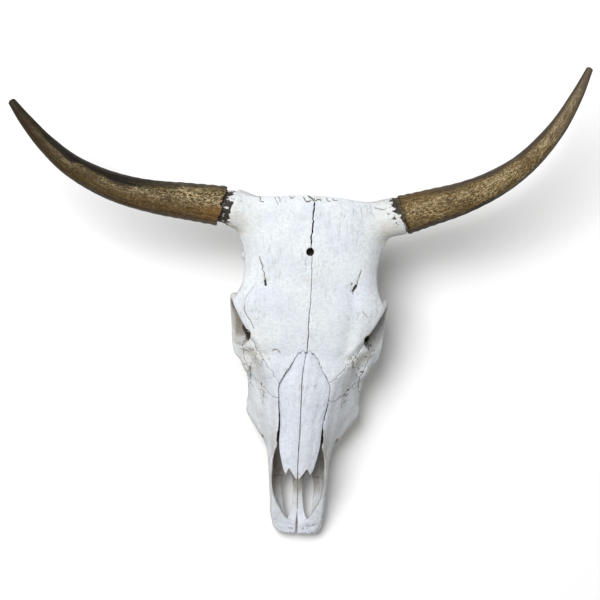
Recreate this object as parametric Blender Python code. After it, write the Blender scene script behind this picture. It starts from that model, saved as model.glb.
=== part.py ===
"""A cow skull without its lower jaw, with both horns, at life size.

Metres in the finished model, +Z up, +Y towards the poll, and the nose towards -Y. Left and right are the
animal's own, so its left is +X. It lies as a skull lies on a table, on its cheek teeth and on the two
processes beside its condyles. One blank is swept and fused from named forms, hollowed, and then parted
into its bones along their sutures. The forms are written in millimetres, from the nose tip along Y, from
the midline along X and from the table along Z, and the numbers in a row follow the names above it.
"""

import math

import bmesh
import bpy
import numpy as np
from mathutils import Matrix, Vector

MM = 0.001

# Where the nose tip and the midline lie in the finished model, in millimetres.
NOSE_Y = -362.8
MIDLINE_X = 29.0

# How the blank is fused, softened and lightened.
FUSE_VOXEL = 2.6
FINE_VOXEL = 2.0
SOFTEN_FACTOR = 0.5
FUSE_ROUNDS = 5
HOLLOW_ROUNDS = 2
BLANK_TRIANGLES = 3150

# The gap between two bones, the gap between a horn or nasal bone and its bed, and the bend's longest step.
SUTURE = 0.3
FIT = 0.4
PRISM_STEP = 18.0

# Driving sizes, in millimetres.
FACE_LENGTH = 292.0
POLL_Y = 515.0
BASE_TOP = 126.0
BASE_FRONT = 312.0
ALVEOLAR_Z = 24.0
HOLE_AT = (-2.5, 434.0)
HOLE_RADIUS = 5.8
HOLE_HEIGHTS = (150.0, 200.0)
HORN_LENGTH = 370.0
HORN_WALL = 4.0
CORE_PLAY = 1.7
CORE_ROOT = 26.0
HORN_BORE_DEPTH = 42.0
HORN_RINGS = 15
HORN_SIDES = 14
NASAL_WALL = 4.5
NASAL_GAP = 0.9
NASAL_PLAY = 1.0

# The face bends to its right: how far at most, at which station, and how far along that reaches.
BEND = 3.2
BEND_AT = 125.0
BEND_REACH = 75.0

# The face's roof rises to the line of the forehead from this station on, over this length.
ROOF_FROM = 128.0
ROOF_RISE = 24.0

# The line of the face and forehead along the midline: station, height.
DORSUM = [(60, 89), (95, 101), (140, 117), (186, 131), (236, 146), (285, 156),
          (330, 168), (380, 177), (430, 184), (480, 187), (505, 185), (517, 178)]

# Half sections of the face: station, shoulder x and height, side x and height, low x and height, palate.
FACE = [
    (0, 18, 24, 27, 19, 22, 13, 13),
    (7, 27, 27, 35, 21, 28, 12, 12),
    (22, 35, 34, 40.3, 25, 33, 13, 14),
    (54, 38.5, 53, 43.2, 34, 36, 17, 20),
    (86, 41, 75, 45.4, 45, 40, 21, 27),
    (118, 41.5, 95, 47.5, 52, 44, 24, 33),
    (140, 36, 106, 52.5, 54, 50, 25, 37),
    (162, 36, 116, 67, 56, 58, 24, 40),
    (186, 40, 123, 82.5, 54, 62, 23, 42),
    (206, 43, 130, 84.5, 60, 65, 23, 43),
    (237, 50, 138, 87.5, 71, 67, 24, 44),
    (267, 64, 144, 93.5, 84, 66, 26, 46),
    (280, 72, 146, 98, 90, 58, 40, 54),
    (292, 82, 147, 104, 96, 46, 66, 70),
]

# Half sections of the forehead plate: station, edge x and height, height of the under side.
FOREHEAD = [
    (268, 48, 146, 118),
    (290, 72, 146, 122),
    (306, 83, 146, 126),
    (335, 98, 147, 130),
    (356, 110, 147, 132),
    (366, 108, 148, 132),
    (375, 103.5, 149, 131),
    (388, 100, 150, 130),
    (405, 98.5, 151, 128),
    (425, 100, 151, 129),
    (440, 103, 150, 129),
    (455, 109, 149, 129),
    (472, 114, 150, 129),
    (494, 116, 152, 130),
    (508, 114, 156, 134),
    (515, 104, 160, 142),
]

# Half sections of the braincase: station, side x and height, low x and height, bottom.
BRAINCASE = [
    (268, 30, 112, 22, 86, 80),
    (300, 40, 112, 21, 80, 72),
    (335, 46, 112, 20, 72, 63),
    (370, 58, 110, 21, 66, 56),
    (400, 64, 108, 23, 64, 53),
    (430, 72, 106, 28, 64, 54),
    (452, 84, 106, 38, 66, 57),
    (470, 92, 112, 44, 76, 66),
    (486, 90, 122, 36, 97, 91),
    (500, 88, 138, 30, 124, 120),
]

# How far the poll's edge bows: out on the midline, and in at this distance from it; and where that starts.
POLL_OUT = 3.0
POLL_IN = 3.0
POLL_HALF = 80.0
POLL_FROM = 450.0

# The forehead plate starts this far forward and this deep under the face's roof, and rises out of it up to
# here, while the roof of the face sinks away under the plate.
FOREHEAD_FRONT = 252.0
FOREHEAD_SUNK = 9.0
FOREHEAD_RISEN = 296.0
ROOF_SUNK = 3.0
ROOF_END_SUNK = 7.0
ROOF_END_FROM = 264.0


def smooth_rows(rows, at):
    """Smooth curve through rows whose first number is the station, read at the stations in at."""
    rows = np.asarray(rows, float)
    at = np.clip(np.asarray(at, float), rows[0, 0], rows[-1, 0])
    slope = np.gradient(rows, rows[:, 0], axis=0)
    i = np.clip(np.searchsorted(rows[:, 0], at, side="right") - 1, 0, len(rows) - 2)
    span = (rows[i + 1, 0] - rows[i, 0])[:, None]
    f = ((at - rows[i, 0]))[:, None] / span
    start, end = rows[i], rows[i + 1]
    m0, m1 = slope[i] * span, slope[i + 1] * span
    return ((2 * f**3 - 3 * f**2 + 1) * start + (f**3 - 2 * f**2 + f) * m0
            + (3 * f**2 - 2 * f**3) * end + (f**3 - f**2) * m1)[:, 1:]


def spline(points, count, closed=False):
    """Catmull-Rom curve through points, read at count evenly spread parameters."""
    p = np.asarray(points, float)
    if closed:
        padded = np.vstack([p[-1], p, p[0], p[1]])
        t = np.linspace(0, len(p), count, endpoint=False)
    else:
        padded = np.vstack([2 * p[0] - p[1], p, 2 * p[-1] - p[-2]])
        t = np.linspace(0, len(p) - 1, count)
    i = np.minimum(t.astype(int), len(padded) - 4)
    f = (t - i)[:, None]
    a, b, c, d = (padded[i + k] for k in range(4))
    return 0.5 * (2 * b + (c - a) * f + (2 * a - 5 * b + 4 * c - d) * f**2 + (3 * b - a - 3 * c + d) * f**3)


def step(low, high, value):
    """0 below low, 1 above high, and a smooth rise between."""
    t = np.clip((value - low) / (high - low), 0, 1)
    return t * t * (3 - 2 * t)


def dorsum(y):
    """Height of the midline at station y."""
    return smooth_rows(DORSUM, np.atleast_1d(y))[:, 0]


def lean(y):
    """How far the face bends to its right, in millimetres at station y."""
    return -BEND * np.exp(-((y - BEND_AT) / BEND_REACH) ** 2)


class Form:
    """A closed surface: rings of points joined one to the next, with its ends filled."""

    def __init__(self, rings, ring_closed=False):
        rings = np.asarray(rings, float)
        n, m = rings.shape[:2]
        self.points = rings.reshape(-1, 3)
        self.faces = []
        last = n if ring_closed else n - 1
        for i in range(last):
            j = (i + 1) % n
            for k in range(m):
                k2 = (k + 1) % m
                self.faces.append((i * m + k, i * m + k2, j * m + k2, j * m + k))
        if not ring_closed:
            self.faces.append(tuple(reversed(range(m))))
            self.faces.append(tuple(range((n - 1) * m, n * m)))

    def mirrored(self):
        other = object.__new__(Form)
        other.points = self.points * (-1, 1, 1)
        other.faces = [tuple(reversed(face)) for face in self.faces]
        return other

    def bent(self):
        """The form with the bend of the face laid in it."""
        self.points[:, 0] += lean(self.points[:, 1])
        return self


def mesh_object(name, forms):
    """One object from closed forms, with every form's faces turned outwards."""
    bm = bmesh.new()
    for form in forms:
        verts = [bm.verts.new(Vector(p) * MM) for p in form.points]
        faces = [bm.faces.new([verts[i] for i in face]) for face in form.faces]
        bmesh.ops.recalc_face_normals(bm, faces=faces)
    mesh = bpy.data.meshes.new(name)
    bm.to_mesh(mesh)
    bm.free()
    obj = bpy.data.objects.new(name, mesh)
    bpy.context.scene.collection.objects.link(obj)
    return obj


def half_section(points, count):
    """Closed smooth curve through half a section's points, from the midline's top to its bottom, and back."""
    right = np.asarray(points, float)
    left = right[-2:0:-1] * (-1, 1)
    return spline(np.vstack([right, left]), count, closed=True)


def lengthways(stations, section, count):
    """A form of sections across Y: section gives a station's half points, as x and height."""
    rings = []
    for y in stations:
        curve = half_section(section(y), count)
        rings.append(np.column_stack([curve[:, 0], np.full(count, y), curve[:, 1]]))
    return Form(rings)


def tube(path, radii, count=14, closed=False, flat=(0, 0, 1)):
    """A tube along path, with a width and a depth for each point; flat is the way the depth is measured."""
    path = np.asarray(path, float)
    radii = np.asarray(radii, float)
    if closed:
        along = np.roll(path, -1, axis=0) - np.roll(path, 1, axis=0)
    else:
        along = np.gradient(path, axis=0)
    along /= np.linalg.norm(along, axis=1)[:, None]
    side = np.cross(along, np.asarray(flat, float))
    side /= np.linalg.norm(side, axis=1)[:, None]
    deep = np.cross(side, along)
    turn = np.linspace(0, 2 * math.pi, count, endpoint=False)
    rings = (path[:, None] + np.cos(turn)[None, :, None] * side[:, None] * radii[:, None, :1]
             + np.sin(turn)[None, :, None] * deep[:, None] * radii[:, None, 1:2])
    return Form(rings, ring_closed=closed)


def ellipsoid(center, radii, turn_z=0.0, turn_y=0.0, rings=10, count=16):
    """An ellipsoid, turned about Z and then about Y, in degrees."""
    lat = np.linspace(-math.pi / 2 + 0.12, math.pi / 2 - 0.12, rings)
    lon = np.linspace(0, 2 * math.pi, count, endpoint=False)
    p = np.stack([np.cos(lat)[:, None] * np.cos(lon), np.cos(lat)[:, None] * np.sin(lon),
                  np.sin(lat)[:, None] * np.ones(count)], axis=-1) * radii
    spin = Matrix.Rotation(math.radians(turn_y), 3, "Y") @ Matrix.Rotation(math.radians(turn_z), 3, "Z")
    return Form(p @ np.array(spin).T + center)


def rows_to_tube(rows, count=10, samples=16, flat=(0, 0, 1), closed=False):
    """A tube from rows of x, y, height, half width and half depth."""
    read = spline(rows, samples, closed)
    return tube(read[:, :3], np.maximum(read[:, 3:], 0.4), count, closed, flat)


def face_form():
    """The face from the nose to the cheeks, solid, with the palate as its floor."""
    stations = np.concatenate([np.linspace(0, 22, 6), np.linspace(30, FACE_LENGTH, 40)])
    rows = smooth_rows(FACE, stations)
    tops = dorsum(stations)

    def section(y):
        i = int(np.argmin(abs(stations - y)))
        shoulder_x, shoulder_z, side_x, side_z, low_x, low_z, palate = rows[i]
        roofed = np.clip((y - ROOF_FROM) / ROOF_RISE, 0, 1)
        top = shoulder_z + 1.0 + roofed * max(tops[i] - ROOF_SUNK - shoulder_z, 0)
        ending = step(ROOF_END_FROM, FACE_LENGTH, y)
        top, shoulder_z = top - ROOF_END_SUNK * ending, shoulder_z - ROOF_END_SUNK * ending
        mid_x = 0.52 * shoulder_x + 0.48 * side_x
        mid_z = 0.56 * shoulder_z + 0.44 * side_z
        return [(0, top), (shoulder_x * 0.55, top * 0.72 + shoulder_z * 0.28), (shoulder_x, shoulder_z),
                (mid_x, mid_z), (side_x, side_z), (0.45 * side_x + 0.55 * low_x, 0.4 * side_z + 0.6 * low_z),
                (low_x, low_z), (low_x - 14, low_z + 4), (0, palate)]

    return lengthways(stations, section, 40)


def forehead_form():
    """The broad plate of the forehead, from the nasal roots to the poll."""
    stations = np.linspace(FOREHEAD_FRONT, POLL_Y, 36)
    rows = smooth_rows(FOREHEAD, stations)
    tops = dorsum(stations)

    def section(y):
        i = int(np.argmin(abs(stations - y)))
        edge, edge_z, under = rows[i]
        sunk = FOREHEAD_SUNK * (1 - step(FOREHEAD_FRONT, FOREHEAD_RISEN, y))
        top, edge_z = tops[i] - sunk, edge_z - sunk
        drop = top - edge_z
        return [(0, top), (0.45 * edge, top - 0.10 * drop), (0.8 * edge, top - 0.40 * drop),
                (edge - 3, edge_z + 5), (edge, edge_z - 4), (edge - 9, edge_z - 13), (0.55 * edge, under),
                (0, under)]

    form = lengthways(stations, section, 40)
    x, y = form.points[:, 0], form.points[:, 1]
    bow = POLL_OUT - (POLL_OUT + POLL_IN) * np.minimum(1, (x / POLL_HALF) ** 2)
    form.points[:, 1] = y + bow * step(POLL_FROM, POLL_Y, y)
    return form


def braincase_form():
    """The braincase under the forehead, down to the base of the skull and back to the nuchal wall."""
    stations = np.linspace(BRAINCASE[0][0], BRAINCASE[-1][0], 26)
    rows = smooth_rows(BRAINCASE, stations)

    def section(y):
        i = int(np.argmin(abs(stations - y)))
        side, side_z, low, low_z, bottom = rows[i]
        return [(0, 150), (0.6 * side, 148), (0.95 * side, side_z + 16), (side, side_z),
                (0.5 * side + 0.5 * low, 0.6 * side_z + 0.4 * low_z), (low, low_z), (0, bottom)]

    return lengthways(stations, section, 32)


# The orbital rim: x, y, height, half width, half depth.
ORBIT_RIM = [(80, 308, 140, 5, 5), (95.5, 331, 143.5, 4.8, 4.8), (107, 354, 143, 5.2, 5.2),
             (112, 363, 126, 6.5, 6.5), (112, 352, 104, 6.5, 6.5), (110.5, 328, 94, 6.2, 6),
             (106, 303, 93, 6.2, 6.5), (95, 289, 108, 7, 7), (84, 294, 127, 7, 7)]
ORBIT_FLAT = (0.78, -0.43, 0.45)

# The deep end of an orbit, and its hollow: how far in towards that end, and its size as a share of the rim's.
ORBIT_DEEP = (54, 338, 112)
ORBIT_STEPS = ((1.0, 0.22), (0.8, 0.45), (0.5, 0.74), (0.2, 0.88), (0.0, 0.90), (-0.5, 0.90))
ORBIT_OUTSIDE = 60.0

# The arch from the lower rim back to the hinge of the jaw.
ARCH = [(110, 352, 99, 7, 9), (105.5, 366, 96, 5, 9), (98, 384, 93, 4.5, 8), (93.5, 404, 92, 5, 8),
        (91, 418, 92, 6, 8), (82, 433, 94, 8, 9), (66, 440, 96, 12, 12)]

# The process beside each condyle, down to the table.
JUGULAR = [(60, 465, 98, 18, 14), (60, 466, 74, 15, 10), (58, 464, 50, 11, 7), (53, 460, 26, 8, 5.4),
           (49, 456.5, 8, 5, 4.2), (47.5, 455, -3, 3.4, 3.2)]

# The wing of the palate and its hook, behind the last tooth.
PTERYGOID = [(30, 262, 66, 5, 20), (26, 290, 68, 3.2, 26), (24, 318, 70, 2.8, 24), (25, 342, 74, 3, 16),
             (28, 362, 76, 4, 8)]

# Rounded parts of each half: centre, half sizes, and turn about Z. They are the two swellings of the
# cheekbone, the swelling in front of the orbit, the facial tuber, the condyle, the bulla, the joint of the
# jaw with the process behind it, the root of the arch, the temporal crest and the tubercle of the base.
ROUNDED = [((98, 304, 92), (14, 32, 14), 8), ((88, 276, 93), (13, 32, 19), -14),
           ((78, 292, 106), (15, 17, 17), 0), ((76, 200, 54), (9.5, 17, 10), 3),
           ((24, 482, 72), (15, 19, 21), -24), ((42, 424, 56), (10, 20, 18), 0),
           ((78, 406, 88), (20, 15, 10), 0), ((70, 420, 78), (12, 5, 12), 0),
           ((82, 434, 90), (12, 12, 15), 0), ((82, 458, 104), (14, 20, 26), 0),
           ((14, 430, 52), (8, 13, 7), 0)]

# On the midline: the swelling of the base and the knob of the nape. On the right: a bump on the arch's root.
MIDDLE_ROUNDED = [((0, 470, 62), (30, 20, 16)), ((0, 502, 130), (17, 9, 15))]
RIGHT_ROUNDED = ((-100, 427, 98), (6, 8, 8))

# The neck of bone that a horn sits on: x, y, height, half width, half depth. It ends by the horn's rim.
NECK = [(78, 478, 152, 26, 24), (103, 489, 151, 28.5, 27)]
NECK_END = (28.5, 28.5)
NECK_SHORT = {-1: 14.0, 1: -1.0}

# The horn for each side, from its rim to its tip: x, y, height, radius; and how far its rim leans.
HORN = {
    -1: [(136.7, 496, 152, 30.5), (188.7, 500, 157, 28), (233.7, 503.5, 163, 25.3), (277.7, 510.5, 169, 22.6),
         (320.2, 523.5, 176, 20), (359.7, 543, 183, 17), (394.7, 570, 190, 13.8), (425.7, 602, 197, 10.3),
         (447.7, 629, 202, 6.4)],
    1: [(131.8, 496.5, 152, 30), (172.3, 510, 157, 27.5), (216.3, 525, 163, 24.6), (258.3, 545.5, 169, 21.2),
        (296.3, 572, 176, 18.2), (328.3, 605, 183, 15.6), (354.8, 643, 190, 12.7), (375.3, 684, 197, 9.4),
        (389.8, 720, 202, 5.6)],
}
HORN_RIM_SHEAR = {-1: 0.14, 1: 0.02}


def horn_path(side, count):
    """Points along a horn's centre line with its radius, on the left as given and on the right mirrored."""
    read = spline(HORN[side], count)
    read[:, 0] *= side
    return read


def horn_frames(read):
    """For each point of a horn's line: its direction and two directions across it."""
    along = np.gradient(read[:, :3], axis=0)
    along /= np.linalg.norm(along, axis=1)[:, None]
    across = np.cross(along, (0, 0, 1))
    across /= np.linalg.norm(across, axis=1)[:, None]
    return along, across, np.cross(across, along)


def horn_rings(side, path, radius, count):
    """Rings round a horn's line; the rim at the base is sheared, and the shear dies out along the horn."""
    along, across, up = horn_frames(path)
    turn = np.linspace(0, 2 * math.pi, count, endpoint=False)
    round_line = np.cos(turn)[None, :, None] * across[:, None] + np.sin(turn)[None, :, None] * up[:, None]
    rings = path[:, None, :3] + radius[:, None, None] * round_line
    fade = np.exp(-np.linalg.norm(path[:, :3] - path[0, :3], axis=1) / 60.0)
    lean_out = HORN_RIM_SHEAR[side] * (path[0, 1] - rings[..., 1]) * fade[:, None]
    return rings + lean_out[..., None] * along[:, None]


def horn_sheath(side):
    """A horn: its outside from the blunt tip to the rim, and from the rim into its socket."""
    outer = horn_path(side, HORN_RINGS)
    inner = spline(HORN[side], 200)[: int(200 * HORN_BORE_DEPTH / HORN_LENGTH) + 1][::11]
    inner[:, 0] *= side
    tip = outer[-1, :3] + (outer[-1, :3] - outer[-2, :3]) * 0.22
    rings = horn_rings(side, outer, outer[:, 3], HORN_SIDES)
    closing = tip + (rings[-1] - outer[-1, :3]) * 0.55
    closing += (outer[-1, :3] - outer[-2, :3]) * 0.02
    bore = horn_rings(side, inner, inner[:, 3] - HORN_WALL, HORN_SIDES)
    rings = np.concatenate([closing[None], rings[::-1], bore])
    return Form(rings)


def horn_envelope(side, grow):
    """The horn's outer shape alone, grown a little, which clears its place in the bone."""
    outer = horn_path(side, HORN_RINGS)
    rings = horn_rings(side, outer, outer[:, 3] + grow, HORN_SIDES)
    rings[0] -= horn_frames(outer)[0][0] * grow
    return Form(rings)


def horn_core(side):
    """The bone core, from inside the forehead's corner to the bottom of the socket."""
    path = spline(HORN[side], 200)[: int(200 * HORN_BORE_DEPTH / HORN_LENGTH)]
    path[:, 0] *= side
    start = path[0].copy()
    ahead = path[5, :3] - path[0, :3]
    start[:3] -= ahead / np.linalg.norm(ahead) * CORE_ROOT
    path = np.vstack([start, path[0], path[:-4:9][1:]])
    along, across, up = horn_frames(path)
    turn = np.linspace(0, 2 * math.pi, HORN_SIDES, endpoint=False)
    radius = path[:, 3] - HORN_WALL - CORE_PLAY
    round_line = np.cos(turn)[None, :, None] * across[:, None] + np.sin(turn)[None, :, None] * up[:, None]
    return Form(path[:, None, :3] + radius[:, None, None] * round_line)


def horn_neck(side):
    """The flare of the forehead's corner that the horn sits on."""
    x, y, z, _ = HORN[side][0]
    rows = np.array([*NECK, (x - NECK_SHORT[side], y, z, *NECK_END)], float)
    rows[:, 0] *= side
    return rows_to_tube(rows, count=18, samples=6)


def add_blank():
    """The whole skull as one solid, with its hollows not yet cut."""
    forms = [face_form(), forehead_form(), braincase_form()]
    halves = [rows_to_tube(ORBIT_RIM, 12, 40, ORBIT_FLAT, closed=True), rows_to_tube(ARCH, 12, 18),
              rows_to_tube(JUGULAR, 12, 12, flat=(0, 1, 0)), rows_to_tube(PTERYGOID, 12, 14)]
    halves += [ellipsoid(*row) for row in ROUNDED]
    for form in halves:
        forms += [form, form.mirrored()]
    forms += [ellipsoid(*row) for row in (*MIDDLE_ROUNDED, RIGHT_ROUNDED)]
    forms += [horn_neck(-1), horn_neck(1)]
    blank = mesh_object("skull_blank", forms)
    fuse = blank.modifiers.new("fuse", "REMESH")
    fuse.mode = "VOXEL"
    fuse.voxel_size = FUSE_VOXEL * MM
    soften = blank.modifiers.new("soften", "SMOOTH")
    soften.factor = SOFTEN_FACTOR
    soften.iterations = FUSE_ROUNDS
    return blank


def orbit_plug():
    """The hollow of an orbit: the rim's line carried in to the deep end, and out past the rim."""
    rim = spline(np.array(ORBIT_RIM)[:, :3], 24, closed=True)
    center = rim.mean(axis=0)
    deep = np.array(ORBIT_DEEP, float)
    out = (center - deep) / np.linalg.norm(center - deep)
    rings = []
    for share, size in ORBIT_STEPS:
        middle = center + (deep - center) * share if share >= 0 else center - out * share * ORBIT_OUTSIDE
        rings.append(middle + (rim - center) * size)
    return Form(rings)


# The nasal hollow: station, half width, floor, roof.
NASAL_HOLLOW = [(16, 8, 33, 52), (28, 19, 27, 64), (44, 28.5, 28, 84), (60, 35, 31, 96), (80, 38.3, 34, 114),
                (104, 38.3, 38, 128), (120, 38.3, 41, 136), (138, 35, 45, 132), (150, 31, 48, 108),
                (180, 28, 54, 110), (215, 24, 62, 112), (245, 14, 74, 104)]

# Passages through the bone: x, y, height, half width, half depth.
NECK_CANAL = [(0, 512, 88, 20, 16), (0, 478, 91, 17, 15), (0, 440, 92, 13, 12)]
EAR_HOLE = [(120, 440, 80, 4, 4), (96, 437, 86, 4, 4), (74, 434, 92, 4, 4)]
THROAT = [(10, 352, 50, 6, 8), (10.5, 322, 61, 8.5, 14), (10, 292, 75, 8.5, 16), (8.5, 264, 85, 7, 14)]
CHEEK_HOLE = [(64, 132, 62, 4, 5), (54, 152, 62, 4.5, 5.5), (44, 176, 64, 3, 4)]

# The slot in the palate behind the nose: from and to station, centre x, half width, lowest and highest
# height; and the x that its front end is drawn towards.
PALATE_SLOT = (26.0, 100.0, 16.2, 9.6, -5.0, 60.0)
SLOT_POINT = 15.2

# The cleft between the tips of the nose: station, half width; and its lowest and highest height.
CLEFT = [(-6, 0.9), (6, 1.2), (16, 2.6), (24, 1.6), (44, 0.9)]
CLEFT_HEIGHTS = (-5.0, 60.0)


def nasal_hollow():
    """The hollow behind the nostrils: open above in front of the nasal bones, closing under them."""
    stations = np.linspace(NASAL_HOLLOW[0][0], NASAL_HOLLOW[-1][0], 30)
    rows = smooth_rows(NASAL_HOLLOW, stations)

    def section(y):
        i = int(np.argmin(abs(stations - y)))
        half, floor, roof = rows[i]
        return [(0, roof), (half * 0.8, roof - 2), (half, 0.6 * roof + 0.4 * floor),
                (half * 0.96, 0.2 * roof + 0.8 * floor), (half * 0.6, floor + 1), (0, floor)]

    return lengthways(stations, section, 24)


def slot(y_from, y_to, center_x, half_width, z_from, z_to, count=18):
    """An upright oval cut in the palate, pointed at its front end."""
    turn = np.linspace(0, 2 * math.pi, count, endpoint=False)
    y = (y_from + y_to) / 2 - (y_to - y_from) / 2 * np.cos(turn)
    fraction = (y - y_from) / (y_to - y_from)
    x = center_x + (SLOT_POINT - center_x) * (1 - fraction) * 0.6
    x = x + half_width * np.sin(turn) * (0.55 + 0.45 * fraction)
    low = np.column_stack([x, y, np.full(count, z_from)])
    high = np.column_stack([x, y, np.full(count, z_to)])
    return Form([low, high])


def median_gap():
    """The cleft between the tips of the nose, widest near its front."""
    y = np.linspace(CLEFT[0][0], CLEFT[-1][0], 14)
    half = smooth_rows(CLEFT, y)[:, 0]
    x = np.concatenate([half, -half[::-1]])
    y = np.concatenate([y, y[::-1]])
    return Form([np.column_stack([x, y, np.full(len(x), z)]) for z in CLEFT_HEIGHTS])


def hollows():
    """Every hollow of the blank, as closed cutting forms."""
    cuts = [nasal_hollow(), median_gap(), rows_to_tube(NECK_CANAL, 14, 6)]
    halves = [orbit_plug(), slot(*PALATE_SLOT), rows_to_tube(EAR_HOLE, 10, 5), rows_to_tube(THROAT, 12, 8),
              rows_to_tube(CHEEK_HOLE, 10, 6)]
    for form in halves:
        cuts += [form, form.mirrored()]
    x, y = HOLE_AT
    turn = np.linspace(0, 2 * math.pi, 20, endpoint=False)
    ring = np.column_stack([x + HOLE_RADIUS * np.cos(turn), y + HOLE_RADIUS * np.sin(turn), np.zeros(20)])
    cuts.append(Form([ring + (0, 0, z) for z in HOLE_HEIGHTS]))
    return cuts


def applied(obj, name):
    """A new plain object with obj's modifiers applied; the first object is removed."""
    graph = bpy.context.evaluated_depsgraph_get()
    mesh = bpy.data.meshes.new_from_object(obj.evaluated_get(graph))
    done = bpy.data.objects.new(name, mesh)
    bpy.context.scene.collection.objects.link(done)
    bpy.data.objects.remove(obj)
    return done


def boolean(obj, other, operation, solver="MANIFOLD"):
    """Obj cut by, joined to or kept inside other; other stays as it is.

    The exact solver loses whole bones where many cuts meet, so closed meshes are parted by the manifold one.
    """
    modifier = obj.modifiers.new(operation.lower(), "BOOLEAN")
    modifier.operation = operation
    modifier.solver = solver
    modifier.object = other
    return applied(obj, obj.name)


def copied(obj, name):
    twin = bpy.data.objects.new(name, obj.data.copy())
    bpy.context.scene.collection.objects.link(twin)
    return twin


def hollowed_blank():
    """The blank with its hollows cut, softened, lightened to its share of triangles and cut flat below."""
    blank = applied(add_blank(), "skull_blank")
    for form in hollows():
        cutter = mesh_object("cutter", [form])
        blank = boolean(blank, cutter, "DIFFERENCE")
        bpy.data.objects.remove(cutter)
    fine = blank.modifiers.new("even", "REMESH")
    fine.mode = "VOXEL"
    fine.voxel_size = FINE_VOXEL * MM
    soften = blank.modifiers.new("soften", "SMOOTH")
    soften.factor = SOFTEN_FACTOR
    soften.iterations = HOLLOW_ROUNDS
    blank = applied(blank, "skull_blank")
    fewer = blank.modifiers.new("fewer", "DECIMATE")
    fewer.ratio = BLANK_TRIANGLES / (2 * len(blank.data.polygons))
    blank = applied(blank, "skull_blank")
    mesh = blank.data
    points = np.empty(len(mesh.vertices) * 3)
    mesh.vertices.foreach_get("co", points)
    points = points.reshape(-1, 3)
    points[:, 0] += lean(points[:, 1] / MM) * MM
    mesh.vertices.foreach_set("co", points.ravel())
    mesh.update()
    return blank


def offset_outline(outline, grow):
    """A closed outline moved out by grow, or in where grow is below zero."""
    p = np.asarray(outline, float)
    area = 0.5 * np.sum(p[:, 0] * np.roll(p[:, 1], -1) - np.roll(p[:, 0], -1) * p[:, 1])
    edge = np.roll(p, -1, axis=0) - p
    edge /= np.linalg.norm(edge, axis=1)[:, None]
    out = np.column_stack([edge[:, 1], -edge[:, 0]]) * math.copysign(1.0, area)
    before = np.roll(out, 1, axis=0)
    miter = out + before
    miter /= np.sum(miter * out, axis=1)[:, None]
    return p + miter * grow


def divided(outline, step):
    """An outline with its long edges divided into pieces no longer than step."""
    points = []
    for start, end in zip(outline, np.roll(outline, -1, axis=0)):
        parts = max(1, math.ceil(np.linalg.norm(end - start) / step))
        points += [start + (end - start) * k / parts for k in range(parts)]
    return np.array(points)


def prism(name, outline, low, high, axis, side=1, grow=0.0):
    """A straight solid with the given outline, from low to high along an axis, on one side of the midline.

    One that stands upright bends with the face.
    """
    shape = offset_outline(outline, grow)
    if axis == "Z":
        shape = divided(shape, PRISM_STEP)
    columns = {"Z": (0, 1, 2), "Y": (0, 2, 1), "X": (1, 2, 0)}[axis]
    rings = []
    for level in (low - grow, high + grow):
        ring = np.empty((len(shape), 3))
        ring[:, columns[0]] = shape[:, 0]
        ring[:, columns[1]] = shape[:, 1]
        ring[:, columns[2]] = level
        rings.append(ring * (side, 1, 1))
    form = Form(rings)
    return mesh_object(name, [form.bent() if axis == "Z" else form])


# Outlines that part the bones, for the left side. A plan is x, y; a front is x, height; a side is y, height.
ZYGOMATIC_PLAN = [(90, 306), (96, 289), (91, 268), (81, 247), (84, 228), (140, 222), (140, 378), (84, 378)]
LACRIMAL_PLAN = [(112, 316), (88, 309), (62, 268), (38.5, 240), (30, 214), (48, 216), (60, 226), (79, 243),
                 (96, 262), (120, 275)]
LACRIMAL_FLOOR = 92.0
FRONTAL_PLAN = [(-20, 285), (11, 284.5), (37.6, 238), (60, 250), (100, 285), (220, 300), (220, 540),
                (-20, 540)]
FRONTAL_FRONT = [(0, 126), (100, 126), (112, 104), (170, 60), (220, 60), (220, 260), (0, 260)]
TEMPORAL_PLAN = [(57, 366), (140, 366), (140, 446), (78, 446), (57, 432)]
PREMAXILLA_SIDE = [(-20, -20), (92, -20), (92, 50), (146, 112), (146, 160), (-20, 160)]
TEMPORAL_TOP = 128.0
BASE_OVERLAP = 20.0
SPHENOID_BACK = 400.0

# How far past the midline a right bone's region reaches: the left bones are gone by then.
PAST_MIDLINE = 20.0


def keep_largest(obj):
    """Drop every body of a mesh but the one with the most faces: crumbs that the parting left on it."""
    bm = bmesh.new()
    bm.from_mesh(obj.data)
    left = set(bm.faces)
    islands = []
    while left:
        stack = [left.pop()]
        island = []
        while stack:
            face = stack.pop()
            island.append(face)
            for edge in face.edges:
                for other in edge.link_faces:
                    if other in left:
                        left.remove(other)
                        stack.append(other)
        islands.append(island)
    islands.sort(key=len, reverse=True)
    extra = [face for island in islands[1:] for face in island]
    if extra:
        bmesh.ops.delete(bm, geom=extra, context="FACES")
    bm.to_mesh(obj.data)
    bm.free()


def carve(rest, name, regions):
    """Part a bone from the rest: what lies inside all regions becomes the bone, and the rest loses it."""
    near = None
    wide = None
    for number, make in enumerate(regions):
        inner = make(f"{name}_inner{number}", -SUTURE / 2)
        outer = make(f"{name}_outer{number}", SUTURE / 2)
        if near is None:
            near, wide = inner, outer
        else:
            near, wide = boolean(near, inner, "INTERSECT"), boolean(wide, outer, "INTERSECT")
            bpy.data.objects.remove(inner)
            bpy.data.objects.remove(outer)
    bone = boolean(copied(rest, name), near, "INTERSECT")
    rest = boolean(rest, wide, "DIFFERENCE")
    bpy.data.objects.remove(near)
    bpy.data.objects.remove(wide)
    return bone, rest


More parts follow.
